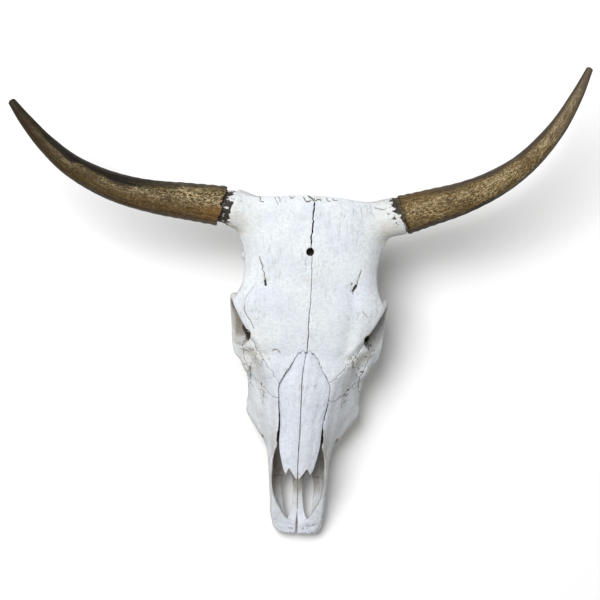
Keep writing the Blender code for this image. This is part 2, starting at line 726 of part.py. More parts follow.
# The pair of nasal bones: station, half width, drop of the outer edge.
NASAL = [(90, 17, 6), (101, 21, 7), (113, 24.6, 8), (128, 28, 9), (152, 31.2, 10), (168, 31.5, 9.5),
         (187, 33, 9), (212, 36.8, 9), (236, 37.3, 8.5), (260, 24.5, 5), (284.5, 11, 1)]
NASAL_FRONT = [(0, 95), (0.08, 91), (0.22, 95.5), (0.4, 101.5), (0.57, 108.5), (0.76, 103), (0.93, 98),
               (1.0, 107)]
NASAL_BACK = 284.5
NASAL_SWELL = 1.0

# The bed of the nasal bones: its first station and the height of the cut above them; and the slit beside each
# bone, which widens from its narrowest at its back station to its full width at its front one.
BED_FRONT = 70.0
BED_TOP = 240.0
SLIT_LEAST = 0.2
SLIT = 2.2
SLIT_BACK = 208.0
SLIT_FRONT = 150.0


def nasal_surface(y, u, lift=0.0):
    """Points on the roof of the nose: u runs from the midline, 0, to the outer edge, 1."""
    half, drop = smooth_rows(NASAL, y.ravel()).T
    half, drop = half.reshape(y.shape), drop.reshape(y.shape)
    top = dorsum(y.ravel()).reshape(y.shape)
    x = NASAL_GAP + (half - NASAL_GAP) * u
    z = top - drop * u**2.0 + NASAL_SWELL * (np.sin(math.pi * u) - 1.0) + lift
    return np.stack([x, y, z], axis=-1)


def nasal_bone(side):
    """One nasal bone: a curved plate with two points at its front and a notch between them.

    Its ends aren't flat, so each is closed by a strip of faces from the roof to the under side.
    """
    across = np.array([0.0, 0.08, 0.4, 0.57, 0.93, 1.0])
    front = np.interp(across, *np.array(NASAL_FRONT).T)
    v = np.linspace(0, 1, 10)[:, None] ** 0.9
    y = front + (NASAL_BACK - front) * v
    u = np.broadcast_to(across, y.shape)
    top = nasal_surface(y, u)
    under = nasal_surface(y, u, -NASAL_WALL)
    form = Form(np.concatenate([top, under[:, ::-1]], axis=1) * (side, 1, 1))
    around = 2 * len(across)
    del form.faces[-2:]
    for first in (0, (len(v) - 1) * around):
        last = first + around - 1
        form.faces += [(first + k, first + k + 1, last - k - 1, last - k) for k in range(len(across) - 1)]
    return form


def nasal_bed():
    """The place of both nasal bones in the face, with their fit round it."""
    stations = np.concatenate([np.linspace(BED_FRONT, 234, 11), np.linspace(240, NASAL_BACK + NASAL_PLAY, 7)])
    rings = []
    for y in stations:
        u = np.linspace(0, 1, 5)
        half = nasal_surface(np.full(5, min(max(y, NASAL[0][0]), NASAL_BACK)), u, -NASAL_WALL - NASAL_PLAY)
        half[:, 1] = y
        half[-1, 0] += NASAL_PLAY
        half[0, 0] = 0
        half = np.vstack([half, half[-1] + (SLIT_LEAST + SLIT * step(SLIT_BACK, SLIT_FRONT, y), 0, 0)])
        curve = np.vstack([half[::-1], half[1:] * (-1, 1, 1)])
        roof = np.array([[curve[-1, 0], y, BED_TOP], [curve[0, 0], y, BED_TOP]])
        rings.append(np.vstack([curve, roof]))
    return Form(rings)


# Cheek teeth: name, first and last station, half width.
TEETH = [("P2", 141, 155, 6), ("P3", 156, 173, 8), ("P4", 174, 190, 9), ("M1", 191, 214, 10),
         ("M2", 215, 241, 10.5), ("M3", 242, 269, 9.5)]
SHORTEST_MOLAR = 19.0
COLUMN_PINCH = 0.14
TOOTH_SQUARENESS = 0.62
TOOTH_ROW = [(141, 43.5), (165, 50.5), (190, 54.5), (215, 57.5), (245, 58.5), (270, 56.5)]


def tooth(first, last, half_width, side):
    """A cheek tooth: a block with two rounded columns, or one on a premolar, worn flat below."""
    middle = (first + last) / 2
    center = smooth_rows(TOOTH_ROW, [middle])[0, 0]
    slant = (smooth_rows(TOOTH_ROW, [last])[0, 0] - smooth_rows(TOOTH_ROW, [first])[0, 0]) / (last - first)
    turn = np.linspace(0, 2 * math.pi, 10, endpoint=False)
    length = (last - first) / 2
    waist = COLUMN_PINCH if length > SHORTEST_MOLAR / 2 else 0.0
    pinch = 1 - waist * np.exp(-(np.sin(turn) / 0.4) ** 2)
    across = half_width * np.sign(np.cos(turn)) * abs(np.cos(turn)) ** TOOTH_SQUARENESS * pinch
    along = length * np.sign(np.sin(turn)) * abs(np.sin(turn)) ** TOOTH_SQUARENESS
    rings = []
    for z, size in ((ALVEOLAR_Z + 5, 0.88), (0.0, 1.0)):
        x = center + across * size + along * size * slant
        y = middle + along * size
        rings.append(np.column_stack([x * side, y, np.full(len(turn), z)]))
    return Form(rings)


BONE_COLOR = (0.80, 0.81, 0.83)
BONE_ROUGHNESS = 0.75
HORN_COLOR = (0.24, 0.17, 0.08)
HORN_ROUGHNESS = 0.45
SMOOTH_ANGLE = 40.0


def finish(obj, color, roughness, skull_frame):
    """Give a piece its shading and its material, and hang it in the skull's frame."""
    mesh = obj.data
    mesh.shade_smooth()
    mesh.set_sharp_from_angle(angle=math.radians(SMOOTH_ANGLE))
    material = bpy.data.materials.new(obj.name)
    material.use_nodes = True
    shader = material.node_tree.nodes["Principled BSDF"]
    shader.inputs["Base Color"].default_value = (*color, 1.0)
    shader.inputs["Roughness"].default_value = roughness
    shader.inputs["Metallic"].default_value = 0.0
    mesh.materials.clear()
    mesh.materials.append(material)
    obj.parent = skull_frame


SIDES = {"left": 1, "right": -1}

# How far the cuts that part the bones reach past the whole skull.
WIDE = 300.0
LOW = -60.0
HIGH = 310.0


def square(x_from, x_to, y_from, y_to):
    """The outline of a rectangle in plan."""
    return [(x_from, y_from), (x_to, y_from), (x_to, y_to), (x_from, y_to)]


def region(outline, low, high, axis, side=1):
    """A maker of one parting solid, which takes the solid's name and how far it is grown."""
    return lambda name, grow: prism(name, outline, low, high, axis, side, grow)


def parted_half(bones, rest, word, side):
    """Part the bones of one half from the rest.

    The left half is parted first, up to the midline, so that what is left of each bone is then the right one.
    """
    middle = 0 if side > 0 else -PAST_MIDLINE
    half = region(square(middle, WIDE, LOW, 2 * WIDE), LOW, HIGH, "Z", side)
    front = [(x if x > 0 else middle, z) for x, z in FRONTAL_FRONT]
    steps = (
        ("zygomatic", [region(ZYGOMATIC_PLAN, LOW, BASE_TOP, "Z", side)]),
        ("lacrimal", [region(LACRIMAL_PLAN, LACRIMAL_FLOOR, HIGH, "Z", side)]),
        ("frontal", [region(FRONTAL_PLAN, LOW, HIGH, "Z", side), region(front, 200, 560, "Y", side)]),
        ("temporal", [region(TEMPORAL_PLAN, LOW, TEMPORAL_TOP, "Z", side)]),
        ("premaxilla", [half, region(PREMAXILLA_SIDE, -PAST_MIDLINE, 120, "X", side)]),
        ("maxilla", [half, region(square(-WIDE, WIDE, LOW, BASE_FRONT), LOW, HIGH, "Z", side)]),
    )
    for bone, regions in steps:
        name = f"{bone}_{word}"
        bones[name], rest = carve(rest, name, regions)
    return rest


def build():
    """Make every bone and horn."""
    for old in list(bpy.data.objects):
        bpy.data.objects.remove(old)
    rest = hollowed_blank()
    below = square(-WIDE, WIDE, LOW, 2 * WIDE)
    floor = Form([[(x, y, z) for x, y in below] for z in (LOW, 0.0)])
    for form in (nasal_bed().bent(), horn_envelope(1, FIT), horn_envelope(-1, FIT), floor):
        cutter = mesh_object("cutter", [form])
        rest = boolean(rest, cutter, "DIFFERENCE")
        bpy.data.objects.remove(cutter)
    bones = {}
    for word, side in SIDES.items():
        rest = parted_half(bones, rest, word, side)
    base = square(-WIDE, WIDE, BASE_FRONT - BASE_OVERLAP, SPHENOID_BACK)
    bones["sphenoid"], bones["occipital"] = carve(rest, "sphenoid", [region(base, LOW, HIGH, "Z")])
    for bone in bones.values():
        keep_largest(bone)
    for word, side in SIDES.items():
        name = f"maxilla_{word}"
        for _, first, last, half_width in TEETH:
            block = mesh_object("tooth", [tooth(first, last, half_width, side).bent()])
            bones[name] = boolean(bones[name], block, "UNION")
            bpy.data.objects.remove(block)
        name = f"frontal_{word}"
        core = mesh_object("core", [horn_core(side)])
        bones[name] = boolean(bones[name], core, "UNION")
        bpy.data.objects.remove(core)
        bones[f"nasal_{word}"] = mesh_object(f"nasal_{word}", [nasal_bone(side).bent()])
        bones[f"horn_{word}"] = mesh_object(f"horn_{word}", [horn_sheath(side)])
    skull_frame = bpy.data.objects.new("skull_frame", None)
    bpy.context.scene.collection.objects.link(skull_frame)
    skull_frame.location = (MIDLINE_X * MM, NOSE_Y * MM, 0)
    for name, obj in bones.items():
        obj.name = name
        if name.startswith("horn"):
            finish(obj, HORN_COLOR, HORN_ROUGHNESS, skull_frame)
        else:
            finish(obj, BONE_COLOR, BONE_ROUGHNESS, skull_frame)
    bpy.context.view_layer.update()


build()
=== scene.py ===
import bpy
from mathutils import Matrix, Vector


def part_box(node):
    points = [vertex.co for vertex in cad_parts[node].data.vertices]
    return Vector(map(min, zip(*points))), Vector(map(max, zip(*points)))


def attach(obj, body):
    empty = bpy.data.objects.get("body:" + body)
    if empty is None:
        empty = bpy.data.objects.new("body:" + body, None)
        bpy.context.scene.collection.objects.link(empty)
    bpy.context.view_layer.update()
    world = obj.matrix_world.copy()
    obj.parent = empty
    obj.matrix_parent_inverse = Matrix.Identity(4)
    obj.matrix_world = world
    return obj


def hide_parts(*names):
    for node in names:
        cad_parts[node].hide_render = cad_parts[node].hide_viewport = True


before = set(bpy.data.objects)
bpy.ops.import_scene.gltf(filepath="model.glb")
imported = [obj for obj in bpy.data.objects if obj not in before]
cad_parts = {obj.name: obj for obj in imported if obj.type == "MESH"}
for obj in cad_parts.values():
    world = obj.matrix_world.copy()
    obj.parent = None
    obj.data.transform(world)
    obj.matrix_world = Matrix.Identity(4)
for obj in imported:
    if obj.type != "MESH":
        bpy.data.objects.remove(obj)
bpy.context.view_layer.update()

import math

import bpy
import numpy as np
import openvdb
from bpy.props import FloatProperty, FloatVectorProperty, PointerProperty
from mathutils import Vector

bl_info = {
    "name": "Cow Skull",
    "version": (1, 0, 0),
    "blender": (4, 5, 0),
    "location": "View3D > Sidebar > Skull",
    "description": "A cow skull with its horns: bones parted along their sutures, teeth and finishes",
    "category": "Mesh",
}

# Shapes are worked out in millimetres in the skull's own frame: X from the midline towards the animal's
# left, Y from the tip of the nose to the poll, Z from the table. SHIFT brings that frame into the packed
# model's, and a side is told by the sign of its X.
MM = 0.001
SHIFT = np.array([29.0, -362.8, 0.0])
SIDES = {"left": 1, "right": -1}

# The face bends to its right: how far at most, at which station, and how far along that reaches.
BEND = 3.2
BEND_AT = 125.0
BEND_REACH = 75.0

# How far a distance volume keeps true distances, and how widely two forms melt into each other.
REACH = 9.0
MELT = 7.0
CUT_MELT = 2.0

# The line of the face and forehead along the midline: station, height.
DORSUM = [(60, 89), (95, 101), (140, 117), (186, 131), (236, 146), (285, 156),
          (330, 168), (380, 177), (430, 184), (480, 187), (505, 185), (517, 178)]

# Half sections of the face: station, shoulder x and height, side x and height, low x and height, palate.
FACE = [
    (0, 16.5, 24, 25.5, 19, 21, 13, 13),
    (7, 27, 27, 35, 21, 28, 12, 12),
    (22, 35, 34, 40.3, 25, 33, 13, 14),
    (54, 38.5, 53, 43.2, 34, 36, 17, 20),
    (86, 41, 75, 45.4, 45, 40, 21, 27),
    (118, 41.5, 95, 47.5, 52, 44, 24, 33),
    (140, 36, 106, 52.5, 54, 50, 25, 37),
    (162, 36, 116, 67, 56, 58, 24, 40),
    (186, 40, 123, 82.5, 54, 62, 23, 42),
    (206, 43, 130, 84.5, 60, 65, 23, 43),
    (237, 50, 138, 87.5, 71, 67, 24, 44),
    (267, 64, 144, 93.5, 84, 66, 26, 46),
    (280, 72, 146, 98, 90, 58, 40, 54),
    (292, 82, 147, 104, 96, 46, 66, 70),
]

# Half sections of the forehead plate: station, edge x and height, height of the under side.
FOREHEAD = [
    (268, 48, 146, 118), (290, 72, 146, 122), (306, 83, 146, 126), (335, 98, 147, 130),
    (356, 110, 147, 132), (366, 108, 148, 132), (375, 103.5, 149, 131), (388, 100, 150, 130),
    (405, 98.5, 151, 128), (425, 100, 151, 129), (440, 103, 150, 129), (455, 109, 149, 129),
    (472, 114, 150, 129), (494, 116, 152, 130), (508, 114, 156, 134), (515, 104, 160, 142),
]

# The plate starts under the face's roof and rises out of it, while that roof sinks away under the plate.
FOREHEAD_FRONT = 252.0
FOREHEAD_SUNK = 9.0
FOREHEAD_RISEN = 296.0
ROOF_END_SUNK = 7.0
ROOF_END_FROM = 264.0

# Half sections of the braincase: station, side x and height, low x and height, bottom.
BRAINCASE = [
    (268, 30, 112, 22, 86, 80), (300, 40, 112, 21, 80, 72), (335, 46, 112, 20, 72, 63),
    (370, 58, 110, 21, 66, 56), (400, 64, 108, 23, 64, 53), (430, 72, 106, 28, 64, 54),
    (452, 84, 106, 38, 66, 57), (470, 92, 112, 44, 76, 66), (486, 90, 122, 36, 97, 91),
    (500, 88, 138, 30, 124, 120),
]

# Where the face starts and ends, and where the forehead's plate ends at the poll.
FACE_START = 1.8
FACE_END = 292.0
POLL_Y = 514.0

# How far the poll's edge bows: out on the midline, and in at this distance from it; and from which
# station on.
POLL_OUT = 3.0
POLL_IN = 3.0
POLL_HALF = 80.0
POLL_FROM = 450.0

# The face's roof rises from this station on, over this length. It stays sunk under the nasal bones, and
# comes up behind them over these stations.
ROOF_FROM = 128.0
ROOF_RISE = 24.0
ROOF_SUNK = 3.0
ROOF_UP = (228, 250)

# Tubes of bone, as x, y, height, half width, half depth: the rim of the orbit, the arch to the jaw's
# hinge, the process beside each condyle, and the wing of the palate.
ORBIT_RIM = [
    (80, 308, 140, 5, 5), (95.5, 331, 143.5, 4.8, 4.8), (107, 354, 143, 5.2, 5.2),
    (112, 363, 126, 6.5, 6.5), (112, 352, 104, 6.5, 6.5), (110.5, 328, 94, 6.2, 6),
    (106, 303, 93, 6.2, 6.5), (95, 289, 108, 7, 7), (84, 294, 127, 7, 7),
]
ARCH = [(110, 352, 99, 7, 9), (105.5, 366, 96, 5, 9), (98, 384, 93, 4.5, 8), (93.5, 404, 92, 5, 8),
        (91, 418, 92, 6, 8), (82, 433, 94, 8, 9), (66, 440, 96, 12, 12)]
JUGULAR = [(60, 465, 98, 18, 14), (60, 466, 74, 15, 10), (58, 464, 50, 11, 7), (53, 460, 26, 8, 5.4),
           (49, 456.5, 8, 5, 4.2), (47.5, 455, -3, 3.4, 3.2)]
PTERYGOID = [(30, 262, 66, 5, 20), (26, 290, 68, 3.2, 26), (24, 318, 70, 2.8, 24), (25, 342, 74, 3, 16),
             (28, 362, 76, 4, 8)]

# The direction that the orbit's rim faces.
ORBIT_FLAT = (0.78, -0.43, 0.45)

# The hollow of the orbit: its deep end; its steps from there outwards, as a share of the way in and a size
# as a share of the rim's; and the length that a step past the rim counts in.
ORBIT_DEEP = (54, 338, 112)
ORBIT_STEPS = ((1.0, 0.22), (0.8, 0.45), (0.5, 0.74), (0.2, 0.88), (0.0, 0.90), (-0.5, 0.90))
ORBIT_OUTSIDE = 60.0

# Rounded parts of each half: centre, half sizes, and turn about Z: two swellings of the cheekbone and its
# shelf under the orbit, the swelling in front of the orbit, the facial tuber, the condyle, the bulla, the
# jaw's joint and the process behind it, the root of the arch, the temporal crest and the tubercle of the
# base. On the midline: the swelling of the base and the knob of the nape. On the right only: a bump on
# the root of the arch.
ROUNDED = [
    ((98, 304, 92), (14, 32, 14), 8), ((88, 276, 93), (13, 32, 19), -14),
    ((99, 337, 95), (10, 25, 5), -8), ((78, 292, 106), (15, 17, 17), 0),
    ((76, 200, 54), (9.5, 17, 10), 3), ((24, 482, 72), (15, 19, 21), -24),
    ((42, 424, 56), (10, 20, 18), 0), ((78, 406, 88), (20, 15, 10), 0), ((70, 420, 78), (12, 5, 12), 0),
    ((82, 434, 90), (12, 12, 15), 0), ((82, 458, 104), (14, 20, 26), 0), ((14, 430, 52), (8, 13, 7), 0),
]
MIDDLE_ROUNDED = [((0, 470, 62), (30, 20, 16), 0), ((0, 502, 130), (17, 9, 15), 0)]
RIGHT_ROUNDED = ((-100, 427, 98), (6, 8, 8), 0)

# The neck of bone under each horn: x, y, height, half width, half depth; and how far short of the horn it
# ends.
NECK = [(78, 478, 152, 26, 24), (103, 489, 151, 28.5, 27)]
NECK_END = (28.5, 28.5)
NECK_SHORT = {-1: 14.0, 1: -1.0}

# The horn for each side, from its rim to its tip: x, y, height, radius; how far its rim leans, and how
# deeply the rim is broken.
HORN = {
    -1: [(136.7, 496, 152, 30.5), (188.7, 500, 157, 28), (233.7, 503.5, 163, 25.3), (277.7, 510.5, 169, 22.6),
         (320.2, 523.5, 176, 20), (359.7, 543, 183, 17), (394.7, 570, 190, 13.8), (425.7, 602, 197, 10.3),
         (447.7, 629, 202, 6.4)],
    1: [(131.8, 496.5, 152, 30), (172.3, 510, 157, 27.5), (216.3, 525, 163, 24.6), (258.3, 545.5, 169, 21.2),
        (296.3, 572, 176, 18.2), (328.3, 605, 183, 15.6), (354.8, 643, 190, 12.7), (375.3, 684, 197, 9.4),
        (389.8, 720, 202, 5.6)],
}
HORN_RIM_SHEAR = {-1: 0.14, 1: 0.02}
HORN_CHIP = {-1: 3.2, 1: 1.2}

# A horn's length, and the wall and depth of its socket.
HORN_LENGTH = 370.0
HORN_WALL = 4.0
HORN_BORE_DEPTH = 42.0

# The rings along a horn, the points round each, the rings that close its tip, and the radius of the
# straight rod that its fibres are read on.
HORN_RINGS = 420
HORN_COLUMNS = 160
TIP_RINGS = 8
ROD_RADIUS = 26.0

# The bone core in the socket: its play, and how far back into the bone it starts.
CORE_PLAY = 1.2
CORE_ROOT = 26.0

# The nasal hollow: station, half width, floor, roof.
NASAL_HOLLOW = [
    (16, 8, 33, 52), (28, 19, 27, 64), (44, 28.5, 28, 84), (60, 35, 31, 96), (80, 38.3, 34, 114),
    (104, 38.3, 38, 128), (120, 38.3, 41, 136), (138, 35, 45, 132), (150, 31, 48, 108),
    (180, 28, 54, 110), (215, 24, 62, 112), (245, 14, 74, 104),
]

# Passages through the bone: x, y, height, half width, half depth.
NECK_CANAL = [(0, 512, 88, 20, 16), (0, 478, 91, 17, 15), (0, 440, 92, 13, 12)]
EAR_HOLE = [(120, 440, 80, 4, 4), (96, 437, 86, 4, 4), (74, 434, 92, 4, 4)]
THROAT = [(10, 352, 50, 6, 8), (10.5, 322, 61, 8.5, 14), (10, 292, 75, 8.5, 16), (8.5, 264, 85, 7, 14)]
CHEEK_HOLE = [(64, 132, 62, 4, 5), (54, 152, 62, 4.5, 5.5), (44, 176, 64, 3, 4)]

# The slots in the palate: station, how far off the midline, half width. The cleft between the tips of the
# nose: station, half width. Both are cut below this height.
PALATE_SLOT = [
    (25, 15.3, 0.2), (29, 15.3, 2.0), (36, 15.3, 4.4), (46, 15.5, 6.6), (58, 15.8, 8.2), (70, 16.4, 8.9),
    (80, 16.4, 8.4), (89, 16.0, 6.6), (96, 15.6, 3.8), (100, 15.4, 0.2),
]
CLEFT = [(-6, 1.7), (6, 1.3), (13, 1.3), (18, 2.0), (24, 1.2), (32, 0.7), (60, 0.5), (74, 0.3), (82, -1.0)]
CLEFT_TOP = 60.0

# Hollows shaped like an ellipsoid, for both sides: centre, half sizes, and turn about Z. They are the
# openings of the palate, the orbit, the base, the temple and the nape, the nape's hollow, the tear duct and,
# as the last, the pit at the orbit's inner corner.
PASSAGES = [
    ((24, 223, 43), (3.2, 5, 7), 0), ((58, 346, 106), (8, 9, 6), 20), ((64, 332, 118), (5, 4, 4), 0),
    ((27, 397, 60), (4.5, 6, 8), 20), ((24, 462, 62), (3.5, 3.5, 9), 0),
    ((33, 446, 60), (3.5, 9, 9), -20), ((71, 443, 96), (7, 5, 6), 0), ((46, 497, 112), (3, 6, 3), 0),
    ((30, 506, 122), (15, 5, 13), 0), ((88, 287, 119), (3, 6, 4), 20),
]
ORBIT_PIT = ((89, 310, 122), (4.6, 6.5, 30), -30)

# The round hole in the forehead: its middle, radius and lowest height.
HOLE_AT = (-2.5, 434.0)
HOLE_RADIUS = 5.8
HOLE_BOTTOM = 150.0

# Outlines that part the bones, for the left side. A plan is x, y; a front is x, height; a side is y,
# height. Where a height or a station ends a bone as well, it is given on its own.
ZYGOMATIC_PLAN = [(90, 306), (96, 289), (91, 268), (81, 247), (84, 228), (140, 222), (140, 378), (84, 378)]
LACRIMAL_PLAN = [(112, 316), (88, 309), (62, 268), (38.5, 240), (30, 214), (48, 216), (60, 226), (79, 243),
                 (96, 262), (120, 275)]
LACRIMAL_FLOOR = 92.0
FRONTAL_PLAN = [
    (-20, 285), (11, 284.5), (37.6, 238), (60, 250), (100, 285), (220, 300), (220, 540), (-20, 540),
]
FRONTAL_FRONT = [(-20, 126), (100, 126), (112, 104), (170, 60), (220, 60), (220, 260), (-20, 260)]
TEMPORAL_PLAN = [(57, 366), (140, 366), (140, 446), (78, 446), (57, 432)]
TEMPORAL_TOP = 128.0
PREMAXILLA_SIDE = [(-20, -20), (92, -20), (92, 50), (146, 112), (146, 160), (-20, 160)]
BASE_TOP = 126.0
BASE_FRONT = 312.0
SPHENOID_BACK = 400.0

# Heights below and above the whole skull.
UNDER_ALL = -99
OVER_ALL = 299

# How much further than its node's box a bone is looked for: the face bends sideways too.
BOX_MARGIN = np.array([8 + BEND, 8, 8])

# The pair of nasal bones: station, half width, drop of the outer edge; the line of their front, and of
# their back.
NASAL = [
    (90, 17, 6), (101, 21, 7), (113, 24.6, 8), (128, 28, 9), (152, 31.2, 10), (168, 31.5, 9.5),
    (187, 33, 9), (212, 36.8, 9), (236, 37.3, 8.5), (260, 24.5, 5), (284.5, 11, 1),
]
NASAL_FRONT = [
    (0, 95), (0.08, 91), (0.22, 95.5), (0.4, 101.5), (0.57, 108.5), (0.76, 103), (0.93, 98), (1.0, 107),
]
NASAL_BACK = 284.5

# Half the gap between them and how much it widens halfway, and the line it runs on: station, how far off
# the midline.
NASAL_GAP = 0.5
NASAL_PARTED = 0.5
NASAL_MIDDLE = [(90, -0.6), (122, -0.9), (168, -1.2), (214, -3.2), (259, -3.4), (276, -1.5), (290, 0.4)]

# Their thickness, the swelling of their roofs, the furrow along them, and the points across and along them.
NASAL_WALL = 4.0
NASAL_SWELL = 1.0
NASAL_FURROW = 1.1
NASAL_COLUMNS = 61
NASAL_ROWS = 121

# The place cleared for a nasal bone: how far up it reaches, and its play round the bone.
NASAL_CLEARED = 60.0
NASAL_PLAY = 0.4

# The line between the two frontal bones: station, how far off the midline.
FRONTAL_MIDDLE = [
    (284, 0.8), (290, 0.9), (319, 1.2), (341, 0.8), (364, 2.2), (408, 1.5), (426, 0.6), (440, -1.7),
    (459, -1.2), (478, -0.8), (496, -0.2), (511, 0.5),
]

# The slit beside each nasal bone: its least width, how much it widens towards the nostrils and over which
# stations on the left and on the right, its bottom, and its ends.
SLIT_LEAST = 0.3
SLIT = 3.0
SLIT_WIDENS = ((184, 150), (208, 150))
SLIT_BOTTOM = 72.0
SLIT_ENDS = (112, 210)

# Cheek teeth: first and last station, half width; the line of the row, as station and how far out; the
# height of the bone's edge over them; and the rings down a crown, which are as many as over its worn face.
TEETH = [(141, 155, 6), (156, 173, 8), (174, 190, 9), (191, 214, 10), (215, 241, 10.5), (242, 269, 9.5)]
TOOTH_ROW = [(141, 43.5), (165, 50.5), (190, 54.5), (215, 57.5), (245, 58.5), (270, 56.5)]
ALVEOLAR_Z = 24.0
TOOTH_RINGS = 22


# --------------------------------------------------------------------------------- curves and noise

# The lattice of random values under the noise repeats after this many cells. Layered noise has this many
# sizes in it.
NOISE_CELLS = 32
NOISE_LAYERS = 3

# The eight corners of a lattice's cell.
CORNERS = [(i, j, k) for k in (0, 1) for j in (0, 1) for i in (0, 1)]


def smooth_rows(rows, at):
    """Curve through rows whose first number is the station: cubic between rows, with the rows' own slopes."""
    rows = np.asarray(rows, float)
    at = np.clip(np.asarray(at, float), rows[0, 0], rows[-1, 0])
    slope = np.gradient(rows, rows[:, 0], axis=0)
    i = np.clip(np.searchsorted(rows[:, 0], at, side="right") - 1, 0, len(rows) - 2)
    span = (rows[i + 1, 0] - rows[i, 0])[:, None]
    f = (at - rows[i, 0])[:, None] / span
    start, end = rows[i], rows[i + 1]
    m0, m1 = slope[i] * span, slope[i + 1] * span
    return ((2 * f**3 - 3 * f**2 + 1) * start + (f**3 - 2 * f**2 + f) * m0
            + (3 * f**2 - 2 * f**3) * end + (f**3 - f**2) * m1)[:, 1:]


def read_line(rows, at):
    """The straight pieces between rows of station and value, read at stations."""
    return np.interp(at, *np.array(rows).T)


def spline(points, count, closed=False):
    """Catmull-Rom curve through points, read at count evenly spread parameters."""
    p = np.asarray(points, float)
    if closed:
        padded = np.vstack([p[-1], p, p[0], p[1]])
        t = np.linspace(0, len(p), count, endpoint=False)
    else:
        padded = np.vstack([2 * p[0] - p[1], p, 2 * p[-1] - p[-2]])
        t = np.linspace(0, len(p) - 1, count)
    i = np.minimum(t.astype(int), len(padded) - 4)
    f = (t - i)[:, None]
    a, b, c, d = (padded[i + k] for k in range(4))
    return 0.5 * (2 * b + (c - a) * f + (2 * a - 5 * b + 4 * c - d) * f**2 + (3 * b - a - 3 * c + d) * f**3)


def step(low, high, value):
    """0 below low, 1 above high, and a smooth rise between."""
    t = np.clip((value - low) / (high - low), 0, 1)
    return t * t * (3 - 2 * t)


def lean(y):
    """How far the face bends sideways at station y."""
    return -BEND * np.exp(-((y - BEND_AT) / BEND_REACH) ** 2)


def dorsum(y):
    """Height of the midline at station y."""
    return smooth_rows(DORSUM, np.atleast_1d(y))[:, 0]


def angles(count):
    """Evenly spread angles round a circle."""
    return np.linspace(0, 2 * math.pi, count, endpoint=False)


def on_table(x, y):
    """The points x, y at height 0."""
    return np.stack(np.broadcast_arrays(x, y, np.float32(0)), axis=-1)


def noise(points, size, seed):
    """Smooth noise from -1 to 1: random values on a lattice size apart, blended between its corners."""
    lattice = np.random.default_rng(seed).random((NOISE_CELLS,) * 3).astype(np.float32) * 2 - 1
    p = np.asarray(points, np.float32) / size
    cell = np.floor(p).astype(np.int64)
    f = p - cell
    f = f * f * (3 - 2 * f)
    total = np.zeros(p.shape[:-1], np.float32)
    for corner in CORNERS:
        index = (cell + corner) % NOISE_CELLS
        weight = np.prod(np.where(corner, f, 1 - f), axis=-1)
        total += weight * lattice[index[..., 0], index[..., 1], index[..., 2]]
    return total


def lattice_wave(axes, size, seed):
    """The same kind of noise on a whole lattice, blended along one axis at a time."""
    counts = [int((places[-1] - places[0]) / size) + 2 for places in axes]
    wave = np.random.default_rng(seed).random(counts).astype(np.float32) * 2 - 1
    for k, places in enumerate(axes):
        place = (places - places[0]) / size
        cell = place.astype(int)
        f = (place - cell)[:, None, None]
        f = f * f * (3 - 2 * f)
        lines = np.moveaxis(wave, k, 0)
        wave = np.moveaxis(lines[cell] * (1 - f) + lines[cell + 1] * f, 0, k)
    return wave.astype(np.float32)


def layered(points, size, seed):
    """Noise of several sizes: each layer is half as large and half as strong as the one before."""
    total = sum(noise(points, size / 2**k, seed + k) / 2**k for k in range(NOISE_LAYERS))
    return total / (2 - 0.5 ** (NOISE_LAYERS - 1))


# -------------------------------------------------------------------------------- surfaces on grids

def strip(rows, below):
    """Quads between rows of point numbers and the rows below them, where each row closes into a ring."""
    quads = np.stack([rows, np.roll(rows, -1, axis=1), np.roll(below, -1, axis=1), below], axis=-1)
    return quads.reshape(-1, 4)


def closed_grid(rings, joined=False):
    """A closed surface on a grid of rings: each ring's points join to the next ring's.

    The end rings are drawn in to their middles, or, when joined, the last ring joins to the first.
    """
    rings = np.asarray(rings, float)
    if not joined:
        first = np.broadcast_to(rings[0].mean(axis=0), rings[0].shape)
        last = np.broadcast_to(rings[-1].mean(axis=0), rings[-1].shape)
        rings = np.concatenate([first[None], rings, last[None]])
    n, m = rings.shape[:2]
    index = np.arange(n * m).reshape(n, m)
    below = np.roll(index, -1, axis=0)
    if not joined:
        index, below = index[:-1], below[:-1]
    return rings.reshape(-1, 3), strip(index, below)


def plate_grid(rings):
    """A closed surface on a grid of flat rings: at both ends, the ring's two layers are joined across it."""
    n, m = rings.shape[:2]
    index = np.arange(n * m).reshape(n, m)
    quads = [strip(index[:-1], index[1:])]
    k = np.arange(m // 2 - 1)
    for ring, turn in ((index[0], -1), (index[-1], 1)):
        quads.append(np.stack([ring[k], ring[k + 1], ring[m - 2 - k], ring[m - 1 - k]], axis=-1)[:, ::turn])
    return rings.reshape(-1, 3), np.concatenate(quads)


def sections(stations, halves, count):
    """Rings across Y: each is the smooth closed curve through half a section and its mirror image."""
    rings = []
    for y, right in zip(stations, halves):
        right = np.asarray(right, float)
        curve = spline(np.vstack([right, right[-2:0:-1] * (-1, 1)]), count, closed=True)
        rings.append(np.column_stack([curve[:, 0], np.full(count, y), curve[:, 1]]))
    return closed_grid(rings)


def round_lines(turn, across, up):
    """The directions at each angle round a path, from the two directions across it."""
    return np.cos(turn)[None, :, None] * across[:, None] + np.sin(turn)[None, :, None] * up[:, None]


